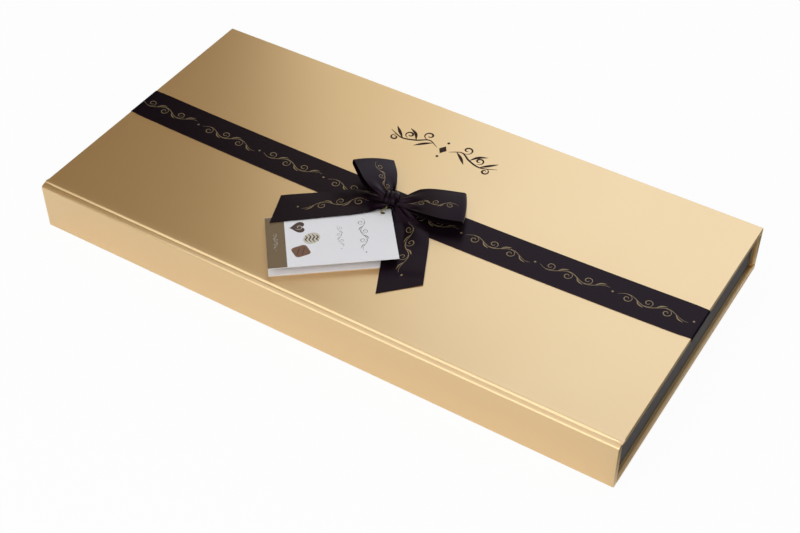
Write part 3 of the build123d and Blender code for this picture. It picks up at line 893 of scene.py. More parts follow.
@dataclass(frozen=True)
class Scroll:
    """A running scroll in millimetres: a waving stem, a curl and a leaf in each bend, and a lozenge."""

    bends: int = 4
    bend: float = 11.0
    rise: float = 2.1
    gap: float = 4.0
    stem_pen: Pair = (0.08, 0.19)
    curl_place: Pair = (0.52, 1.1)
    curl_start: float = 0.31 * TURN
    curl_turns: float = 1.35
    curl_radii: Pair = (3.0, 0.55)
    curl_pen: Pair = (0.07, 0.21)
    leaf: tuple[Pair, ...] = ((0.95, -0.3), (1.12, 2.1), (1.42, 3.4))
    leaf_pen: Pair = (0.05, 0.34)
    lozenge: float = 1.5
    lozenge_gap: float = 1.6
    stem_points: int = 90
    curl_points: int = 46
    leaf_points: int = 14

    @property
    def length(self) -> float:
        """Length of one unit in metres."""
        return self.bends * self.bend * MM

    def drawn(self, start: float, scale: float = 1.0, facing: float = 1.0) -> list[np.ndarray]:
        """Draws one unit.

        Args:
            start: Where it starts along the surface, in metres.
            scale: Size against the drawn one.
            facing: 1, or -1 to draw it upside down.

        Returns:
            Its strokes and its spot, in metres.
        """
        along = np.linspace(0, self.bends * self.bend - self.gap, self.stem_points)
        stem = np.stack([along, self.rise * np.sin(along / self.bend * math.pi)], -1)
        grids = [stroke(stem, *self.stem_pen)]
        for number in range(self.bends - 1):
            side = 1.0 if number % 2 else -1.0
            centre = ((number + self.curl_place[0]) * self.bend, side * self.curl_place[1])
            curl = spiral(centre, -side * self.curl_start, side * self.curl_turns, self.curl_radii,
                          self.curl_points)
            grids.append(stroke(curl, *self.curl_pen))
            tip = tuple(((number + ahead) * self.bend, side * height) for ahead, height in self.leaf)
            grids.append(stroke(curve_through(tip, self.leaf_points), *self.leaf_pen))
        end = self.bends * self.bend - self.lozenge_gap
        grids.append(spot((end, 0.0), round_outline(self.lozenge, self.lozenge, 1.0, 0.0, 16)))
        return [np.array([start, 0.0]) + grid * scale * MM * np.array([1.0, facing]) for grid in grids]


SCROLL = Scroll()


# Cover of the case


@dataclass
class Cover:
    """The gold paper case: lid, flap, spine and base, and the creases between them."""

    edge_radius: float = 0.64 * MM
    liner_radius: float = 0.06 * MM
    liner_steps: int = 2
    paper: float = 0.2 * MM
    grip: float = 0.12 * MM
    end_gap: float = 0.02 * MM
    lid_lap: float = 0.75 * MM
    flap_slope: float = 1.15 * MM
    flap_front_radius: float = 1.4 * MM
    flap_back_radius: float = 0.7 * MM
    groove_drop: float = 0.09 * MM
    groove_depth: float = 1.0 * MM
    groove_shares: tuple[Pair, ...] = ((0, -0.85), (0.10, -0.9), (0.24, -0.62), (0.38, -0.16),
                                       (0.50, -0.02), (0.60, 0), (1, 0))
    end_shares: tuple[Pair, ...] = ((0, 1.0), (0.93, 1.0), (0.975, 0.7), (1, 0.45))
    sag_level: float = 0.45 * MM
    sag_depth: float = 0.3 * MM
    sag_shares: tuple[Pair, ...] = ((0, 0), (0.5, -1.0), (1, 0))
    crease_angle: float = 60.0
    rows: int = 25
    columns: int = 81

    def build(self) -> None:
        """Makes the four covers, their linings and the creases."""
        bodies = {"lid": Body.LID, "base": Body.CASE, "spine": Body.CASE, "flap": Body.FLAP}
        for part, body in bodies.items():
            if part != "flap":
                slab = rounded_slab(*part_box(part + "_wrap"), self.edge_radius)
                make_piece(part + "_cover", slab, "gold_paper", body, (part + "_wrap",))
            slab = rounded_slab(*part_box(part + "_liner"), self.liner_radius, self.liner_steps)
            make_piece(part + "_liner_sheet", slab, "lining_paper", body, (part + "_liner",))
        self.flap()
        self.front_crease()
        self.back_creases()

    def flap(self) -> None:
        """The flap's cover and board, whose top slopes to the front and is well rounded there."""
        low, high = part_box("flap_wrap")
        inset = high[0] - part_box("flap_board")[1][0]
        corners = ((high[1], low[2]), (high[1], high[2]), (low[1], high[2] - self.flap_slope),
                   (low[1], low[2]))
        radii = (self.edge_radius, self.flap_back_radius, self.flap_front_radius, self.edge_radius)
        outline = rounded_outline(corners, radii)
        for name, finish, node, depth in (("flap_cover", "gold_paper", "flap_wrap", 0.0),
                                          ("flap_board_core", "greyboard", "flap_board", inset)):
            bar = rounded_bar(*outline, high[0], self.edge_radius, depth)
            make_piece(name, bar, finish, Body.FLAP, (node,))

    def trough(self, start: Triple, end: Triple, outward: Triple, half: float, shares: tuple[Pair, ...],
               depth: float) -> Mesh:
        """Paper pressed into a crease between two edges, with a section that follows a table.

        The crease is shallower near its ends, where the paper lies double.

        Args:
            start: One edge of the crease at the case's middle, in metres.
            end: The other edge.
            outward: Direction out of the crease.
            half: Half of its length along X.
            shares: Height over the line between the edges, in shares of the depth.
            depth: Depth of the crease.

        Returns:
            The closed strip.
        """
        share = np.linspace(0, 1, self.rows)[:, None]
        x = np.sin(np.linspace(-math.pi / 2, math.pi / 2, self.columns)) * half
        height = Table(shares, 1.0)(share) * Table(self.end_shares, 1.0)(np.abs(x) / half) * depth
        line = np.array(start) + (np.array(end) - np.array(start)) * share
        grid = line[:, None, :] + np.array(outward) * height[..., None]
        grid[..., 0] = x
        return thick_sheet(grid, self.paper)

    def front_crease(self) -> None:
        """The set-in crease on which the flap turns, along the front of the lid's top."""
        flap_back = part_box("flap_wrap")[1][1]
        lid_low, lid_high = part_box("lid_wrap")
        level = lid_high[2] - self.groove_drop
        start = (0.0, flap_back - self.grip, level)
        end = (0.0, lid_low[1] + self.lid_lap, level)
        mesh = self.trough(start, end, (0.0, 0.0, 1.0), lid_high[0] - self.end_gap, self.groove_shares,
                           self.groove_depth)
        piece = make_piece("front_crease_paper", mesh, "gold_paper", None, ("flap_crease",),
                           self.crease_angle)
        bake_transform(piece)

    def back_creases(self) -> None:
        """The creases above and below the spine: the lid turns on the upper one."""
        spine_low, spine_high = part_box("spine_wrap")
        half, back = spine_high[0] - self.end_gap, spine_high[1] - self.sag_level
        for part, low, high, body in (("lid", spine_high[2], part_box("lid_wrap")[0][2], None),
                                      ("base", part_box("base_wrap")[1][2], spine_low[2], Body.CASE)):
            start, end = (0.0, back, low - self.grip), (0.0, back, high + self.grip)
            mesh = self.trough(start, end, (0.0, 1.0, 0.0), half, self.sag_shares, self.sag_depth)
            piece = make_piece(part + "_crease_paper", mesh, "gold_paper", body, (part + "_crease",),
                               self.crease_angle)
            if body is None:
                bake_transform(piece)


# Ribbon


@dataclass
class Ribbon:
    """A length of printed satin ribbon that lies on some surface."""

    width: float = RIBBON_WIDTH
    thickness: float = 0.26 * MM
    smooth_angle: float = 50.0
    strands: int = 13

    def surface(self, along: np.ndarray, across: np.ndarray) -> np.ndarray:
        """Middle of the cloth.

        Args:
            along: Places along it, in metres.
            across: Places across it from its middle, in metres.

        Returns:
            A point for each place.
        """
        raise NotImplementedError

    def lay(self, node: str, along: np.ndarray, held: str, rests_on: list[str], length: float,
            area: float | None = None) -> None:
        """Makes the cloth of one piece of ribbon.

        Args:
            node: The solid it stands for.
            along: Stations along it.
            held: How it is held. Not used.
            rests_on: The pieces it rests on. Not used.
            length: Its flat length. Not used.
            area: Its flat area, if its ends aren't square. Not used.
        """
        u, v = np.meshgrid(along, np.linspace(-0.5, 0.5, self.strands) * self.width, indexing="ij")
        mesh = thick_sheet(self.surface(u, v), self.thickness, np.stack([u, v], -1))
        piece = make_piece(node + "_cloth", mesh, "ribbon_satin", Body.LID, (node,), self.smooth_angle)

    def ornament(self, node: str, shapes: list[np.ndarray], side: float = 1.0) -> None:
        """Prints shapes in gold on one side of the cloth."""
        lift = side * (self.thickness / 2 + PRINT_LIFT)
        printed(node + "_print", self.surface, shapes, lift, Body.LID, "gold_foil", "ribbon_satin")


@dataclass
class Band(Ribbon):
    """The ribbon along the lid, bent round both of its ends and tucked under them."""

    bend_radius: float = 1.25 * MM
    stand_off: float = 0.22 * MM
    lift: float = 0.01 * MM
    tuck: float = 28.0 * MM
    left_y: float = 0.9 * MM
    middle_x: float = -20.0 * MM
    middle_y: float = -1.1 * MM
    right_y: float = 4.5 * MM
    end_narrowing: float = 0.45 * MM
    end_run: float = 9.0 * MM
    print_start: float = 3.0 * MM
    print_gap: float = 0.5 * MM
    bend_points: int = 9
    level_points: int = 60
    stations: int = 181

    def __post_init__(self) -> None:
        """Works out the side view and the length along it: level runs joined by quarter rounds."""
        _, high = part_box("lid_wrap")
        half, radius = self.thickness / 2, self.bend_radius
        self.end = high[0] + self.stand_off + half
        top = high[2] + half + self.lift
        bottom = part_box("ribbon_band")[0][2] + half
        inner = self.end - radius
        quarter = np.linspace(0, math.pi / 2, self.bend_points)
        rise = np.stack([inner + radius * np.sin(quarter), bottom + radius * (1 - np.cos(quarter))], -1)
        fall = np.stack([inner + radius * np.cos(quarter), top - radius * (1 - np.sin(quarter))], -1)
        right = np.concatenate([[[self.end - self.tuck, bottom]], rise, fall])
        middle = np.linspace((inner, top), (-inner, top), self.level_points)[1:-1]
        path = np.concatenate([right, middle, right[::-1] * np.array([-1.0, 1.0])])[::-1]
        apart = np.linalg.norm(np.diff(path, axis=0), axis=1) > JOIN_STEP
        self.path = path[np.concatenate([[True], apart])]
        self.lengths = lengths_along(self.path)

    def surface(self, along: np.ndarray, across: np.ndarray) -> np.ndarray:
        """Middle of the cloth: the side view carried along a parabola through the band's three places."""
        x = np.interp(along, self.lengths, self.path[:, 0])
        z = np.interp(along, self.lengths, self.path[:, 1])
        curve = np.polyfit([-self.end, self.middle_x, self.end],
                           [self.left_y, self.middle_y, self.right_y], 2)
        drawn_in = smoothstep(np.abs(x), self.end - self.end_run, self.end) * self.end_narrowing
        y = np.polyval(curve, x) + across * (1.0 - drawn_in / (self.width / 2))
        return np.stack([x, y, z], -1)

    def build(self) -> None:
        """Makes the band and its print."""
        total = float(self.lengths[-1])
        along = np.unique(np.concatenate([self.lengths, np.linspace(0, total, self.stations)]))
        self.lay("ribbon_band", along, "stretched", ["lid_cover"], total)
        start = self.tuck + self.print_start
        count = int((total - 2 * start) // (SCROLL.length + self.print_gap))
        step = (total - 2 * start) / count
        shapes = []
        for number in range(count):
            shapes += SCROLL.drawn(start + number * step, facing=1.0 if number % 2 else -1.0)
        self.ornament("ribbon_band", shapes)


@dataclass(frozen=True)
class Place:
    """A turned frame in the object, given in millimetres and degrees."""

    x: float
    y: float
    z: float
    bearing: float = 0.0
    rise: float = 0.0
    tilt: float = 0.0

    def out(self, local: np.ndarray) -> np.ndarray:
        """Moves points in this frame, in metres, into the object's frame.

        Args:
            local: Points, with their three numbers last.

        Returns:
            The points turned by tilt about X, raised about Y, turned to the bearing and moved.
        """
        turn = (Matrix.Rotation(math.radians(self.bearing), 3, "Z")
                @ Matrix.Rotation(-math.radians(self.rise), 3, "Y")
                @ Matrix.Rotation(math.radians(self.tilt), 3, "X"))
        return local @ np.array(turn).T + np.array([self.x, self.y, self.z]) * MM


@dataclass
class Loop(Ribbon):
    """A loop of the bow: out from the knot below, round its end and back above.

    Its own sizes are in millimetres. The two edges are given as places out from the knot and distances from
    the loop's middle.
    """

    node: str = ""
    place: Place = Place(0.0, 0.0, 0.0)
    reach: float = 0.0
    skew: float = 0.0
    left_edge: tuple[Pair, ...] = ()
    right_edge: tuple[Pair, ...] = ()
    phase: float = 0.0
    start: float = 0.4
    end_height: float = 1.7
    end_round: float = 1.5
    end_run: float = 9.0
    neck_height: float = 0.75
    neck_run: float = 2.0
    open_share: float = 0.8
    belly: float = 0.8
    arch: float = 0.7
    arch_start: float = 6.0
    pleat: float = 0.75
    pleats: float = 1.2
    pleat_start: float = 5.0
    pleat_run: float = 19.0
    bow_out: float = 0.9
    print_start: float = 5.0
    print_scale: float = 0.72
    level_points: int = 42
    round_points: int = 17
    upper_layer: float = 0.99
    stations: int = 90
    strands: int = 33

    def __post_init__(self) -> None:
        """Works out the side view and the length up to each of its points."""
        level = np.linspace(self.start, self.reach - self.end_round, self.level_points)
        turn = np.linspace(-math.pi / 2, math.pi / 2, self.round_points)[1:-1]
        self.run = np.concatenate([level, self.reach - self.end_round * (1 - np.cos(turn)), level[::-1]])
        self.layer = np.concatenate([np.full(level.size, -1.0), np.sin(turn), np.full(level.size, 1.0)])
        self.lengths = lengths_along(np.stack([self.run, self.layer * self.end_height], -1)) * MM
        self.left, self.right = Table(self.left_edge, 1.0), Table(self.right_edge, 1.0)

    def surface(self, along: np.ndarray, across: np.ndarray) -> np.ndarray:
        """Middle of the cloth.

        The side view is a drop: two layers that part from the knot, swell and meet in a half ellipse.
        Across, the edges follow two tables, pleats fade away from the knot as a cosine, and the upper
        layer is arched as one less the square of the share across.
        """
        run = np.interp(along, self.lengths, self.run)
        layer = np.interp(along, self.lengths, self.layer)
        share = across / (self.width / 2)
        left, right = self.left(run), self.right(run)
        y = (left + right) / 2 * share + (left - right) / 2 * share**2
        opening = smoothstep(run, self.neck_run, self.open_share * self.reach)
        half = self.neck_height + (self.end_height - self.neck_height) * opening
        swelling = self.belly * np.sin(np.clip(run / self.reach, 0, 1) * math.pi) ** 2
        half = half + swelling * (layer > self.upper_layer)
        fade = 1.0 - smoothstep(run, self.pleat_start, self.pleat_run)
        folds = self.pleat * fade * np.cos(self.pleats * TURN * share + self.phase)
        arch = self.arch * (1 - share**2) * smoothstep(run, self.arch_start, self.reach) * (layer + 1) / 2
        end = smoothstep(run, self.reach - self.end_run, self.reach)
        outward = run + (self.skew * share + self.bow_out * (1 - share**2)) * end
        return self.place.out(np.stack([outward, y, layer * half + folds + arch], -1) * MM)

    def build(self) -> None:
        """Makes the loop and its print."""
        total = float(self.lengths[-1])
        along = np.unique(np.concatenate([self.lengths, np.linspace(0, total, self.stations)]))
        self.lay(self.node, along, "gathered", ["bow_knot_cloth"], total)
        self.ornament(self.node, SCROLL.drawn(total / 2 + self.print_start * MM, self.print_scale), -1.0)


@dataclass
class Tail(Ribbon):
    """A free tail of the bow, gathered at the knot and cut aslant at its end.

    Its own sizes are in millimetres and degrees. The two edges and the side view are given as places out
    from the knot and distances from the middle line or the table.
    """

    node: str = ""
    place: Place = Place(0.0, 0.0, 0.0)
    long_side: float = 0.0
    short_side: float = 0.0
    far_edge: tuple[Pair, ...] = ()
    near_edge: tuple[Pair, ...] = ()
    side_view: tuple[Pair, ...] = ()
    lean: float = 0.0
    pleat: float = 0.0
    phase: float = 0.0
    shoulder: float = 0.0
    shoulder_run: float = 0.0
    wave: float = 0.0
    start: float = 0.4
    pleats: float = 1.1
    pleat_range: Pair = (4.0, 17.0)
    settled_range: Pair = (8.0, 22.0)
    shoulder_spread: float = 9.0
    shoulder_side: float = 0.35
    wave_run: float = 7.5
    print_start: float = 13.0
    stations: int = 96
    strands: int = 29

    def __post_init__(self) -> None:
        """Keeps the edges and the side view as smooth curves."""
        self.far, self.near, self.level = (Table(pairs, 1.0) for pairs in
                                           (self.far_edge, self.near_edge, self.side_view))
        self.side = 1.0 if self.far_edge[-1][1] > self.near_edge[-1][1] else -1.0

    def surface(self, along: np.ndarray, across: np.ndarray) -> np.ndarray:
        """Middle of the cloth.

        The edges follow two tables and the height a third. Pleats fade away from the knot as a cosine, the
        outer side swells into a shoulder as a bell curve, and the cloth leans from side to side.
        """
        share = across / (self.width / 2)
        slant = (self.long_side - self.short_side) / self.long_side / 2
        run = along / MM * (1 - slant * (share + 1))
        near, far = self.near(run), self.far(run)
        y = near + (far - near) * (share + 1) / 2
        fade = 1.0 - smoothstep(run, *self.pleat_range)
        settled = smoothstep(run, *self.settled_range)
        bell = np.exp(-((run - self.shoulder_run) / self.shoulder_spread) ** 2)
        outer = np.clip((share + self.shoulder_side) / (1 + self.shoulder_side), 0, 1)
        z = (self.level(run) + self.pleat * fade * np.cos(self.pleats * TURN * share + self.phase)
             - self.side * (y - near) * math.tan(math.radians(self.lean)) * settled
             + self.shoulder * bell * np.sin(outer * math.pi)
             + self.wave * settled * np.sin(run / self.wave_run) * smoothstep(share))
        return self.place.out(np.stack([run, y, z], -1) * MM)

    def build(self) -> None:
        """Makes the tail and its print."""
        total = self.long_side * MM
        area = (self.long_side + self.short_side) / 2 * MM * self.width
        self.lay(self.node, np.linspace(self.start * MM, total, self.stations), "laid",
                 ["lid_cover", "gift_tag"], total, area)
        self.ornament(self.node, SCROLL.drawn(self.print_start * MM), self.side)


@dataclass
class Knot(Ribbon):
    """The knot: a short pleated wrap of ribbon round the necks of the loops, with sizes in millimetres."""

    place: Place = Place(-1.4, -2.4, 37.6, 24.0, 0.0, 6.0)
    half_length: float = 4.2
    half_depth: float = 4.3
    half_height: float = 2.9
    round_share: float = 1.08
    power: float = 2.5
    edge_draw: float = 0.30
    pleat: float = 0.13
    pleats: float = 1.55
    pleat_slant: float = 0.16
    pleat_phase: float = 0.6
    turned_edge: float = 0.36
    turned_slant: float = 0.45
    turned_range: Pair = (0.02, 0.14)
    width: float = 11.0 * MM
    wrapped: Pair = (0.01, 0.985)
    stations: int = 110
    strands: int = 49

    def __post_init__(self) -> None:
        """Works out the length of the wrap once round."""
        self.length = math.pi * (self.half_depth + self.half_height) * self.round_share * MM

    def surface(self, along: np.ndarray, across: np.ndarray) -> np.ndarray:
        """Middle of the cloth.

        The section across its axis is an oval of a power, drawn in towards both edges as the cube of the
        place along the axis. Pleats run round it as a cosine, and one turned edge crosses its top.
        """
        angle = along / self.length * TURN - math.pi / 2
        share = across / (self.width / 2)
        c, s = np.cos(angle), np.sin(angle)
        oval = (np.abs(c) ** self.power + np.abs(s) ** self.power) ** (-1 / self.power)
        folds = self.pleat * np.cos(self.pleats * TURN * (share + self.pleat_slant * c) + self.pleat_phase)
        turned = self.turned_edge * smoothstep(share + self.turned_slant * c, *self.turned_range)
        grow = (1 - self.edge_draw * np.abs(share) ** 3) * (oval + (folds + turned) / self.half_height)
        return self.place.out(np.stack([share * self.half_length, -grow * self.half_depth * c,
                                        grow * self.half_height * s], -1) * MM)

    def build(self) -> None:
        """Makes the wrap, whose ends meet under the knot."""
        self.lay("bow_knot", np.linspace(*self.wrapped, self.stations) * self.length, "folded",
                 ["ribbon_band_cloth"], self.length)


KNOT = (-0.1, -4.3)
LOOP_LEVEL = 36.6
BOW = (
    Loop(node="bow_left_loop", place=Place(*KNOT, LOOP_LEVEL + 0.4, 139.8, 2.9, 13.7),
         reach=35.3, skew=0.75,
         left_edge=((0, 2.6), (6, 5.4), (12, 9.6), (20, 11.9), (36, 12.3)),
         right_edge=((0, 2.2), (5, 3.2), (14, 7.2), (24, 10.4), (36, 12.2)), phase=0.9),
    Loop(node="bow_right_loop", place=Place(*KNOT, LOOP_LEVEL, 22.9, 0.7, 0.0), reach=40.9, skew=-0.55,
         left_edge=((0, 2.4), (5, 4.8), (10, 9.0), (15, 11.7), (22, 12.3), (42, 12.0)),
         right_edge=((0, 2.6), (6, 3.8), (12, 6.0), (20, 9.3), (30, 11.6), (42, 12.1)), phase=2.4),
    Tail(node="bow_front_tail", place=Place(*KNOT, 0.0, -64.5), long_side=66.7, short_side=57.7,
         far_edge=((0, 3.2), (6, 11.4), (12.2, 18.3), (18.5, 22.4), (27, 23.3), (68, 23.3)),
         near_edge=((0, -1.6), (5.3, 0.9), (12, 2.3), (18.7, 2.8), (28, 1.5), (40, -1.1), (68, -1.1)),
         side_view=((0, 36.6), (3, 36.3), (6, 35.2), (10, 33.8), (14, 32.9), (22, 32.5), (47, 31.95),
                    (54, 31.3), (68, 31.26)),
         pleat=0.45, phase=0.4, shoulder=1.3, shoulder_run=19.0, wave=0.25),
    Tail(node="bow_left_tail", place=Place(*KNOT, 0.0, 220.0), long_side=68.8, short_side=60.6,
         far_edge=((0, -2.6), (2, -3.5), (8, -9.5), (13, -15), (19, -19.0), (27, -19.8), (70, -19.8)),
         near_edge=((0, 3.2), (3, 3.4), (7, 3.0), (12, 3.1), (26, 3.8), (70, 3.8)),
         side_view=((0, 36.7), (4, 36.5), (8, 35.5), (14, 34.1), (70, 34.02)),
         lean=4.3, pleat=0.4, phase=2.0, shoulder=0.9, shoulder_run=18.0, wave=0.3),
)


# Tag


@dataclass
class TagPrint:
    """The printing on the folded card's upper leaf: a brown band, three sweets and three scrolls.

    Sizes are in millimetres. Places are given along the leaf from the fold's end and across it from its
    middle.
    """

    place: Place = Place(-0.3, -5.4, 0.0, 218.2)
    length: float = 70.4
    width: float = 44.8
    fold: float = 0.35
    leaf_level: float = 33.1
    spread: float = 3.8
    band: float = 10.5
    margin: float = 0.02
    square: Pair = (52.0, 9.5)
    oval: Pair = (45.5, -1.0)
    heart: Pair = (52.5, -11.5)
    square_size: float = 9.0
    square_power: float = 5.0
    square_turn: float = 0.35
    oval_size: Pair = (10.5, 8.6)
    oval_turn: float = 0.9
    heart_scale: float = 0.30
    curl_offset: float = -0.6
    curl_start: float = 0.4
    curl_turns: float = 1.2
    curl_radii: Pair = (2.2, 0.5)
    curl_pen: Pair = (0.06, 0.22)
    flourish: Pair = (17.0, 0.72)
    small_scroll: Pair = (30.0, 0.5)
    band_scroll: Pair = (65.2, 0.36)
    square_line_steps: tuple[float, ...] = (-1.4, 1.4)
    square_line: Pair = (0.9, 3.2)
    square_pen: Pair = (0.12, 0.3)
    oval_line_steps: tuple[float, ...] = (-3.0, -1.0, 1.0, 3.0)
    oval_line_reach: float = 3.9
    oval_line_limit: float = 4.6
    oval_line_swing: float = 0.5
    oval_line_waves: float = 5.0
    oval_pen: Pair = (0.10, 0.42)

    def leaf(self, along: np.ndarray, across: np.ndarray) -> np.ndarray:
        """The upper leaf: a plane that rises evenly from the fold to the open edge."""
        rise = (across / MM - self.fold) / (self.width - self.fold) * self.spread
        return self.place.out(np.stack([along, across, (self.leaf_level + rise) * MM], -1))

    def build(self) -> None:
        """Makes each print as its own thin piece."""
        u, v = np.meshgrid(np.linspace(self.length - self.band, self.length - self.margin, 5),
                           np.linspace(self.fold, self.width - self.margin, 9), indexing="ij")
        curl = spiral((self.heart[0] + self.curl_offset, self.heart[1]), self.curl_start, self.curl_turns,
                      self.curl_radii, 30)
        square = round_outline(self.square_size, self.square_size, self.square_power, self.square_turn)
        oval = round_outline(*self.oval_size, 2.0, self.oval_turn)
        middle = np.array([0.0, self.width / 2])
        for name, ink, shapes, layer in (
                ("tag_end_band", "tag_brown_ink", [np.stack([u, v], -1) - middle], 1),
                ("tag_square_sweet", "tag_milk_ink", [spot(self.square, square)], 1),
                ("tag_oval_sweet", "tag_cream_ink", [spot(self.oval, oval)], 1),
                ("tag_heart_sweet", "tag_dark_ink", [spot(self.heart, self.heart_outline())], 1),
                ("tag_sweet_lines", "tag_dark_ink", self.sweet_lines(), 2),
                ("tag_light_lines", "tag_cream_ink", [stroke(curl, *self.curl_pen)], 2),
                ("tag_flourish", "tag_dark_ink", self.upright(*self.flourish), 1),
                ("tag_small_scroll", "tag_grey_ink", self.upright(*self.small_scroll, -1.0), 1),
                ("tag_band_scroll", "tag_cream_ink", self.upright(*self.band_scroll), 2)):
            placed = [(shape + middle) * MM for shape in shapes]
            printed(name, self.leaf, placed, layer * PRINT_LIFT, Body.LID, ink, "tag_card")

    @staticmethod
    def upright(along: float, scale: float, facing: float = 1.0) -> list[np.ndarray]:
        """A scroll turned by a quarter, so that it runs across the leaf, at some place along it."""
        drawn = SCROLL.drawn(-0.5 * SCROLL.length * scale, scale, facing)
        return [np.stack([along - grid[..., 1] / MM, grid[..., 0] / MM], -1) for grid in drawn]

    def heart_outline(self) -> np.ndarray:
        """A heart: sixteen sine cubed across, and a sum of four cosines up, scaled to size."""
        angle = np.linspace(0, TURN, 48, endpoint=False)
        up = 13 * np.cos(angle) - 5 * np.cos(2 * angle) - 2 * np.cos(3 * angle) - np.cos(4 * angle)
        return np.stack([-up, 16 * np.sin(angle) ** 3], -1) * self.heart_scale

    def sweet_lines(self) -> list[np.ndarray]:
        """Dark lines: waves over the oval sweet, as long as the oval is there, and two on the square one.

        Returns:
            The strokes.
        """
        shapes = []
        share = np.linspace(-1, 1, 16)
        for step in self.oval_line_steps:
            reach = self.oval_line_reach * math.sqrt(1 - (step / self.oval_line_limit) ** 2)
            sway = self.oval_line_swing * np.sin(share * self.oval_line_waves)
            shapes.append(stroke(self.oval + np.stack([step + sway, share * reach], -1), *self.oval_pen))
        share = np.linspace(-1, 1, 8)
        for step in self.square_line_steps:
            line = np.stack([step + self.square_line[0] * share, self.square_line[1] * share], -1)
            shapes.append(stroke(self.square + line, *self.square_pen))
        return shapes


@dataclass
class TitleOrnament:
    """A dark printed flourish in the place of a title on the lid, in millimetres from its middle."""

    middle: Pair = (-3.0, 56.5)
    stem: tuple[Pair, ...] = ((4, 0), (11, 3.4), (18, -0.6), (26, -3.0), (36, 0.6))
    stem_pen: Pair = (0.14, 0.62)
    curls: tuple[tuple[Pair, float, float, float], ...] = (
        ((13.0, 7.0), -1.9, 1.2, 3.6), ((23.6, 1.9), -1.7, 1.2, 3.0), ((30.6, -4.6), 1.8, -1.2, 2.6))
    curl_end: float = 0.7
    curl_pen: Pair = (0.10, 0.62)
    leaves: tuple[tuple[Pair, ...], ...] = (
        ((8, 2.4), (12.5, -1.0), (17.0, -5.6)), ((18, -0.6), (21.5, 4.6), (26.5, 7.4)),
        ((26, -3.0), (31.0, 1.8), (34.5, 5.2)))
    leaf_pen: Pair = (0.08, 0.95)
    lozenge: Pair = (5.0, 7.4)
    dot: float = 1.8
    dot_height: float = 6.8
    stem_points: int = 70
    curl_points: int = 44
    leaf_points: int = 22

    def flat(self, along: np.ndarray, across: np.ndarray) -> np.ndarray:
        """The lid's top, a level plane."""
        x, y = along + self.middle[0] * MM, across + self.middle[1] * MM
        return np.stack([x, y, np.full_like(x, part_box("lid_wrap")[1][2])], -1)

    def build(self) -> None:
        """Makes a mirrored pair of scrolls with leaves round a lozenge and two dots."""
        half = [stroke(curve_through(self.stem, self.stem_points), *self.stem_pen)]
        for place, start, turns, radius in self.curls:
            curl = spiral(place, start, turns, (radius, self.curl_end), self.curl_points)
            half.append(stroke(curl, *self.curl_pen))
        half += [stroke(curve_through(leaf, self.leaf_points), *self.leaf_pen) for leaf in self.leaves]
        shapes = [shape * np.array([side, 1.0]) for side in (-1.0, 1.0) for shape in half]
        shapes.append(spot((0.0, 0.0), round_outline(*self.lozenge, 1.0, 0.0, 32)))
        shapes += [spot((0.0, height), round_outline(self.dot, self.dot, 2.0, 0.0, 20))
                   for height in (-self.dot_height, self.dot_height)]
        printed("lid_flourish", self.flat, [shape * MM for shape in shapes], PRINT_LIFT, Body.LID,
                "brown_ink", "gold_paper")


# Sweets and pad


def oval_of(length: float, width: float, power: float) -> Outline:
    """Radius of an oval of a power, in metres, from sizes in millimetres."""
    def radius(angle: np.ndarray) -> np.ndarray:
        """Inverse of the power mean of the two shares."""
        c, s = np.abs(np.cos(angle)) * 2 / length, np.abs(np.sin(angle)) * 2 / width
        return (c**power + s**power) ** (-1 / power) * MM
    return radius


def heart_of(width: float, fullness: float = 0.98, pinch: Pair = (0.30, 0.42), point: Pair = (0.13, 0.5),
             shift: float = 0.05) -> Outline:
    """Radius of a soft heart: a circle pinched at the top and drawn out below, both as bell curves.

    Args:
        width: Its width in millimetres.
        fullness: The circle's size in shares of the width.
        pinch: Depth and spread of the pinch.
        point: Height and spread of the point.
        shift: How far the circle is moved towards the point.

    Returns:
        The outline.
    """
    def radius(angle: np.ndarray) -> np.ndarray:
        """The circle less the pinch, plus the point."""
        turned = angle - math.pi / 2
        notch = pinch[0] * np.exp(-((np.mod(turned + math.pi, TURN) - math.pi) / pinch[1]) ** 2)
        tip = point[0] * np.exp(-((np.mod(turned, TURN) - math.pi) / point[1]) ** 2)
        return width / 2 * (fullness - notch + tip - shift * np.cos(turned)) * MM
    return radius


def fluted(outer: float, flutes: int, depth: float) -> Outline:
    """Radius of a fluted round: a circle less the depth of a rounded wave."""
    def radius(angle: np.ndarray) -> np.ndarray:
        """The circle less the wave."""
        return (outer - depth * (1 - np.abs(np.cos(angle * flutes / 2)))) * MM
    return radius


def straight(start: Pair, end: Pair, count: int = 24) -> np.ndarray:
    """A straight line, from places in millimetres."""
    return np.linspace(start, end, count) * MM


def drizzle(reach: float, waves: float, swing: float = 1.12, count: int = 180) -> np.ndarray:
    """A line that swings across a round as it goes along it: a sine under a half circle.

    Args:
        reach: How far it goes from the middle, in millimetres.
        waves: Number of half waves to each side.
        swing: Radius of the half circle, in shares of the reach.
        count: How many points to give.

    Returns:
        The line.
    """
    along = np.linspace(-reach, reach, count)
    across = np.sqrt((swing * reach) ** 2 - along**2) * np.sin(along / reach * waves * math.pi)
    return np.stack([along, across], -1) * MM


def around(outline: Outline, share: float, count: int = 96) -> np.ndarray:
    """A closed line at a share of an outline's radius."""
    angle = np.linspace(0, TURN, count) + math.pi / 2
    return np.stack([np.cos(angle), np.sin(angle)], -1) * (outline(angle) * share)[:, None]


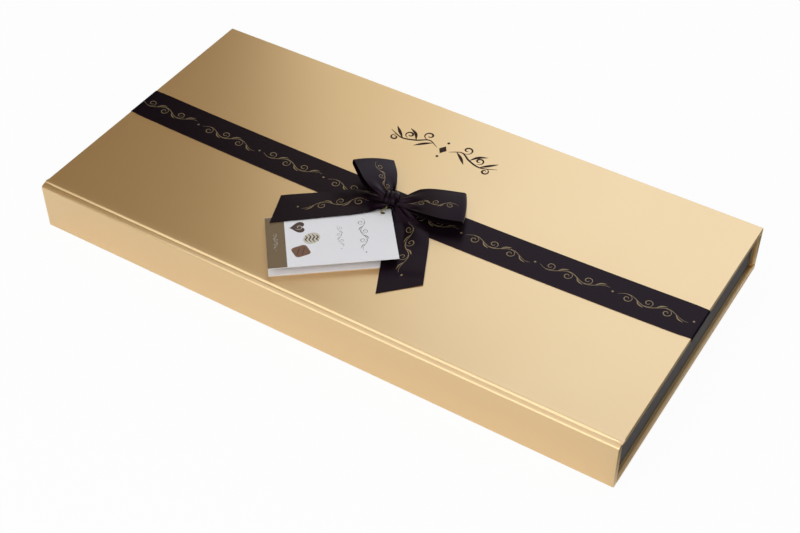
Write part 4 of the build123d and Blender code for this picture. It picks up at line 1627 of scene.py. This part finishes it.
@dataclass(frozen=True)
class Sweet:
    """One kind of chocolate: its outline, the power of its side and the lines piped on it."""

    node: str
    finish: str
    outline: Outline
    side_power: float
    lines: tuple[np.ndarray, ...]
    line_finish: str
    line_radius: float
    twist: float = 0.0
    spokes: int = 72
    rings: int = 26
    ring_power: float = 0.9
    foot: float = 0.97
    foot_run: float = 3.0
    line_power: int = 16
    line_sides: int = 10

    def skin(self, height: float) -> Mesh:
        """The poured body: its outline drawn in and raised along an oval of the side's power.

        Args:
            height: Its height.

        Returns:
            The closed body on its foot's middle.
        """
        angle, share = np.meshgrid(np.linspace(0, TURN, self.spokes, endpoint=False),
                                   np.linspace(0, 1, self.rings) ** self.ring_power, indexing="ij")
        grow = np.cos(share * math.pi / 2) ** (2 / self.side_power)
        rise = np.sin(share * math.pi / 2) ** (2 / self.side_power)
        radius = self.outline(angle + self.twist * rise) * grow
        radius = radius * (self.foot + (1 - self.foot) * np.minimum(rise * self.foot_run, 1))
        points = np.stack([radius * np.cos(angle), radius * np.sin(angle), height * rise], -1)
        points = np.concatenate([np.zeros_like(points[:, :1]), points], axis=1)
        quads = grid_faces(self.spokes, self.rings + 1, closed_rows=True)
        return Mesh(points.reshape(-1, 3), quads[:, ::-1])

    def piped(self, line: np.ndarray, height: float) -> Mesh:
        """A round bead along a line on the skin, half sunk in it and thinned to nothing at both ends.

        Its height is the skin's: the oval of the side's power, solved for its rise.

        Args:
            line: Its places from the sweet's middle.
            height: The body's height.

        Returns:
            The bead.
        """
        angle = np.arctan2(line[:, 1], line[:, 0])
        grow = np.hypot(line[:, 0], line[:, 1]) / self.outline(angle + self.twist)
        level = height * (1 - np.clip(grow, 0, 1) ** self.side_power) ** (1 / self.side_power)
        path = np.column_stack([line, level])[:, None, :]
        thinning = np.sqrt(1 - np.linspace(-1, 1, len(line)) ** self.line_power)
        radius = (self.line_radius * thinning)[:, None, None]
        along = np.gradient(line, axis=0)
        side = to_unit(np.column_stack([-along[:, 1], along[:, 0], np.zeros(len(line))]))[:, None, :]
        turn = np.linspace(0, TURN, self.line_sides, endpoint=False)[None, :, None]
        points = path + radius * (np.cos(turn) * side + np.sin(turn) * np.array([0.0, 0.0, 1.0]))
        return Mesh(points.reshape(-1, 3), grid_faces(len(line), self.line_sides, closed_columns=True))


HEART = heart_of(24.0)
SWEETS = (
    Sweet("square_pralines", "milk_chocolate", oval_of(24.4, 24.4, 7.0), 5.0,
          (straight((-8.6, -8.6), (8.6, 8.6)), straight((-8.6, 8.6), (8.6, -8.6))), "milk_chocolate",
          1.1 * MM),
    Sweet("round_truffles", "white_chocolate", oval_of(25.3, 25.3, 2.0), 2.6, (drizzle(9.0, 4.0),),
          "milk_chocolate", 0.55 * MM),
    Sweet("heart_pralines", "dark_chocolate", HEART, 4.0, (around(HEART, 0.6),), "white_chocolate",
          0.5 * MM),
    Sweet("rosette_pralines", "milk_chocolate", fluted(12.1, 12, 1.5), 2.8,
          (spiral((0.0, 0.0), 0.0, 2.6, (5.6, 0.448), 110) * MM,), "milk_chocolate", 1.15 * MM, 0.9, 144),
    Sweet("oblong_pralines", "dark_chocolate", oval_of(25.4, 21.3, 6.0), 4.6,
          tuple(straight((step, -7.6), (step, 7.6)) for step in (-4.4, 0.0, 4.4)), "dark_chocolate",
          1.1 * MM),
)


@dataclass
class Filling:
    """The chocolates in their cups, with what is piped on them."""

    columns: int = 2
    rows: int = 5
    margin: float = 2.2 * MM
    smooth_angle: float = 50.0

    def places(self, node: str) -> list[np.ndarray]:
        """Middles of the sweets' feet: the insert's cups, counted from the node's middle.

        Args:
            node: The sweets' node.

        Returns:
            A place for each sweet.
        """
        tray_low, tray_high = (np.array(corner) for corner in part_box("insert_tray"))
        low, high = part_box(node)
        pitch = (tray_high - tray_low - 2 * self.margin)[:2] / (len(SWEETS) * self.columns, self.rows)
        middle = np.array([low[0] + high[0], tray_low[1] + tray_high[1]]) / 2
        column, row = np.mgrid[:self.columns, :self.rows]
        steps = np.stack([column - (self.columns - 1) / 2, row - (self.rows - 1) / 2], -1).reshape(-1, 2)
        return [np.array([*(middle + step * pitch), low[2]]) for step in steps]

    def build(self) -> None:
        """Makes the five kinds and their piping."""
        for sweet in SWEETS:
            low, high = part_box(sweet.node)
            height = high[2] - low[2] - sweet.line_radius
            beads = Mesh.joined([sweet.piped(line, height) for line in sweet.lines])
            for part, label, finish, nodes in ((sweet.skin(height), "_poured", sweet.finish, (sweet.node,)),
                                               (beads, "_piped", sweet.line_finish, ())):
                copies = [Mesh(part.points + place, part.faces) for place in self.places(sweet.node)]
                make_piece(sweet.node + label, Mesh.joined(copies), finish, Body.CASE, nodes,
                           self.smooth_angle)


@dataclass
class Pad:
    """Quilted paper pad glued under the lid, with channels in lozenges."""

    pitch: float = 22.0 * MM
    channel: float = 0.75 * MM
    swell_power: float = 0.45
    cells: tuple[int, int] = (300, 150)
    edge: float = 1.2 * MM
    edge_share: float = 0.5
    glue: float = 0.02 * MM
    fill: float = 0.3
    smooth_angle: float = 60.0

    def build(self) -> None:
        """Makes the pad: a slab whose lower face sinks along two sets of slanted lines and at its rim."""
        low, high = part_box("lid_pad")
        x, y = np.meshgrid(*(np.linspace(low[axis], high[axis], self.cells[axis]) for axis in range(2)),
                           indexing="ij")
        first, second = (np.abs(np.sin((x + side * y) * math.pi / self.pitch)) for side in (1, -1))
        sunk = self.channel * (1 - np.minimum(first, second) ** self.swell_power)
        rim = np.minimum.reduce([x - low[0], high[0] - x, y - low[1], high[1] - y])
        rounding = 1 - np.sqrt(np.clip(1 - (1 - np.clip(rim / self.edge, 0, 1)) ** 2, 0, 1))
        lower = low[2] + sunk + (high[2] - low[2]) * self.edge_share * rounding
        top = np.stack([x, y, np.full_like(x, high[2] - self.glue)], -1)
        mesh = closed_between(top, np.stack([x, y, lower], -1))
        piece = make_piece("lid_pad_quilt", mesh, "pad_paper", Body.LID, ("lid_pad",), self.smooth_angle)


@dataclass
class TagString:
    """The short gold cord that ties the tag to the knot, on the solid's own route, in millimetres."""

    diameter: float = 0.6 * MM
    length: float = 36.5 * MM
    route: tuple[Triple, ...] = (
        (-0.6, -8.6, 36.6), (-1.2, -11.8, 36.1), (-2.2, -13.2, 35.0), (-2.4, -12.1, 34.0),
        (-2.0, -11.2, 32.5), (-2.6, -9.8, 31.62), (-5.4, -5.6, 31.62), (-8.6, -1.0, 31.66),
        (-8.0, 4.6, 31.64), (-3.4, 6.4, 31.8), (-1.7, 2.8, 32.4), (-1.2, -0.8, 34.7))

    def build(self) -> None:
        """Makes the cord as one smooth spline."""
        data = bpy.data.curves.new("tag_string_cord", "CURVE")
        data.dimensions = "3D"
        data.bevel_depth = self.diameter / 2
        data.bevel_resolution = 3
        data.resolution_u = 12
        data.use_fill_caps = True
        places = np.array(self.route) * MM
        spline = data.splines.new("NURBS")
        spline.points.add(len(places) - 1)
        spline.points.foreach_set("co", np.column_stack([places, np.ones(len(places))]).ravel())
        spline.order_u = 3
        spline.use_endpoint_u = True
        data.materials.append(painted("tag_cord"))
        piece = show("tag_string_cord", data)
        claim(piece, "tag_cord", Body.LID, ("tag_string",))


# Studio


@dataclass(frozen=True)
class Softbox:
    """A soft rectangular lamp aimed at a point, leaning by some degrees to its left."""

    name: str
    place: Triple
    target: Triple
    width: float
    height: float
    watts: float
    tint: Triple = (1.0, 1.0, 1.0)
    lean: float = 0.0

    def build(self) -> None:
        """Makes the lamp."""
        data = bpy.data.lights.new(self.name, "AREA")
        data.shape = "RECTANGLE"
        data.size = self.width
        data.size_y = self.height
        data.energy = self.watts
        data.color = self.tint
        aim = Vector(self.target) - Vector(self.place)
        show(self.name, data).matrix_world = aimed(self.place, aim, self.lean)


def aimed(place: Triple, forward: Vector, roll: float) -> Matrix:
    """The place of a lamp or camera that looks along a direction, rolled by some degrees.

    Args:
        place: Where it stands.
        forward: Where it looks.
        roll: Its roll.

    Returns:
        Its matrix.
    """
    aim = forward.to_track_quat("-Z", "Y").to_matrix().to_4x4()
    turn = aim @ Matrix.Rotation(math.radians(roll), 4, "Z")
    turn.translation = Vector(place)
    return turn


@dataclass
class Studio:
    """Camera, lamps and a pale floor, with painted shade in its reflections to the right of the case."""

    camera_place: Triple = (0.3241, -0.5151, 0.5715)
    camera_forward: Triple = (-0.38102, 0.61005, -0.69474)
    camera_roll: float = -0.18
    lens: float = 65.09
    sensor: float = 36.0
    lamps: tuple[Softbox, ...] = (
        Softbox("back_softbox", (-0.12, 1.1, 1.5), (-0.12, 0.0, 1.5), 1.82, 2.8, 13.7,
                (1.0, 0.94, 0.80), -8.0),
        Softbox("back_fill", (0.06, 1.08, 1.5), (0.06, 0.0, 1.5), 1.45, 2.8, 5.8,
                (0.66, 0.93, 1.36), -11.0),
        Softbox("top_softbox", (-0.12, -0.5, 1.5), (-0.1, -0.1, 0.03), 2.0, 1.4, 8.6),
        Softbox("front_softbox", (0.2, -1.5, 1.08), (0.0, 0.0, 0.03), 3.4, 2.1, 31.0, (0.99, 1.02, 0.96)),
    )
    white: tuple[float, float, float, float] = (1.0, 1.0, 1.0, 1.0)
    sky_strength: float = 0.03
    floor_size: float = 8.0
    floor_colour: tuple[float, float, float, float] = (0.86, 0.86, 0.86, 1.0)
    floor_roughness: float = 0.9
    floor_grain: float = 400.0
    floor_relief: float = 0.02
    floor_relief_depth: float = 0.1 * MM
    seen_share: float = 0.95
    mirrored_share: float = 0.4
    mirrored_strength: float = 0.95
    # painted shade in the floor's reflections to the right of the case: where it fades in along X, and how
    # much glow it takes away
    painted_shade_range: Pair = (0.175, 0.20)
    painted_shade_drop: float = 0.87

    def build(self) -> None:
        """Makes the camera, the lamps, the sky and the floor."""
        self.camera()
        for lamp in self.lamps:
            lamp.build()
        self.sky()
        self.floor()
        bpy.context.scene.view_settings.view_transform = "Standard"

    def camera(self) -> None:
        """The camera of the photograph."""
        data = bpy.data.cameras.new("camera")
        data.lens = self.lens
        data.sensor_width = self.sensor
        data.sensor_fit = "HORIZONTAL"
        camera = show("camera", data)
        camera.matrix_world = aimed(self.camera_place, Vector(self.camera_forward), self.camera_roll)
        bpy.context.scene.camera = camera

    def sky(self) -> None:
        """A dim even surround, which the camera alone sees white."""
        recipe = Recipe(bpy.data.worlds.new("surround"))
        strength = recipe.ray("Is Camera Ray") * (1 - self.sky_strength) + self.sky_strength
        background = recipe.add("ShaderNodeBackground", None, {"Color": self.white, "Strength": strength})
        recipe.add("ShaderNodeOutputWorld", None, {0: background.outputs[0]})
        bpy.context.scene.world = recipe.owner

    def floor(self) -> None:
        """A floor that is white to the camera and keeps the object's shadow, with painted shade in what
        glossy rays see of it to the right of the case.
        """
        recipe = Recipe(bpy.data.materials.new("floor_sweep"))
        seen = recipe.ray("Is Camera Ray") + recipe.ray("Is Transmission Ray")
        mirrored = recipe.ray("Is Glossy Ray")
        place = recipe.place(Coordinates.OBJECT)
        # painted shade: to the right of the case the floor glows less in reflections and shows more of its
        # lit shader
        beside = recipe.split(place)[0].within(*self.painted_shade_range)
        grain = recipe.noise(place, self.floor_grain)
        relief = recipe.bump(grain, self.floor_relief, self.floor_relief_depth)
        pale = recipe.glaze(Base_Color=self.floor_colour, Roughness=self.floor_roughness, Normal=relief)
        strength = seen + mirrored * (self.mirrored_strength - beside * self.painted_shade_drop)
        glow = recipe.add("ShaderNodeEmission", None, {"Color": self.white, "Strength": strength})
        caught = beside * (1 - self.mirrored_share) + self.mirrored_share
        share = seen * self.seen_share + mirrored * caught
        half = self.floor_size / 2
        corners = [(-half, -half, 0.0), (half, -half, 0.0), (half, half, 0.0), (-half, half, 0.0)]
        data = bpy.data.meshes.new("floor_sweep")
        data.from_pydata(corners, [], [(0, 1, 2, 3)])
        data.materials.append(recipe.finish(recipe.layered(share, pale, glow.outputs[0])))
        show("floor_sweep", data)


def dress_solids() -> None:
    """Gives each solid that still shows the finish of its slot."""
    slots = {part["node"]: part["material_slot"] for part in frame["record"]["subparts"]}
    for name, node in frame["nodes"].items():
        if node.type == "MESH" and not node.hide_render:
            node.data.materials.clear()
            node.data.materials.append(painted(slots[name]))
            log.info("%s dressed in %s", name, slots[name])


def main() -> None:
    """Builds the scene in order."""
    logging.basicConfig(level=logging.INFO, format="%(name)s %(message)s")
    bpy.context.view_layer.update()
    for part in (Studio(), TagString(), Cover(), Band(), Knot(), *BOW, TagPrint(), TitleOrnament(),
                 Filling(), Pad()):
        part.build()
    dress_solids()


if __name__ == "__main__":
    main()
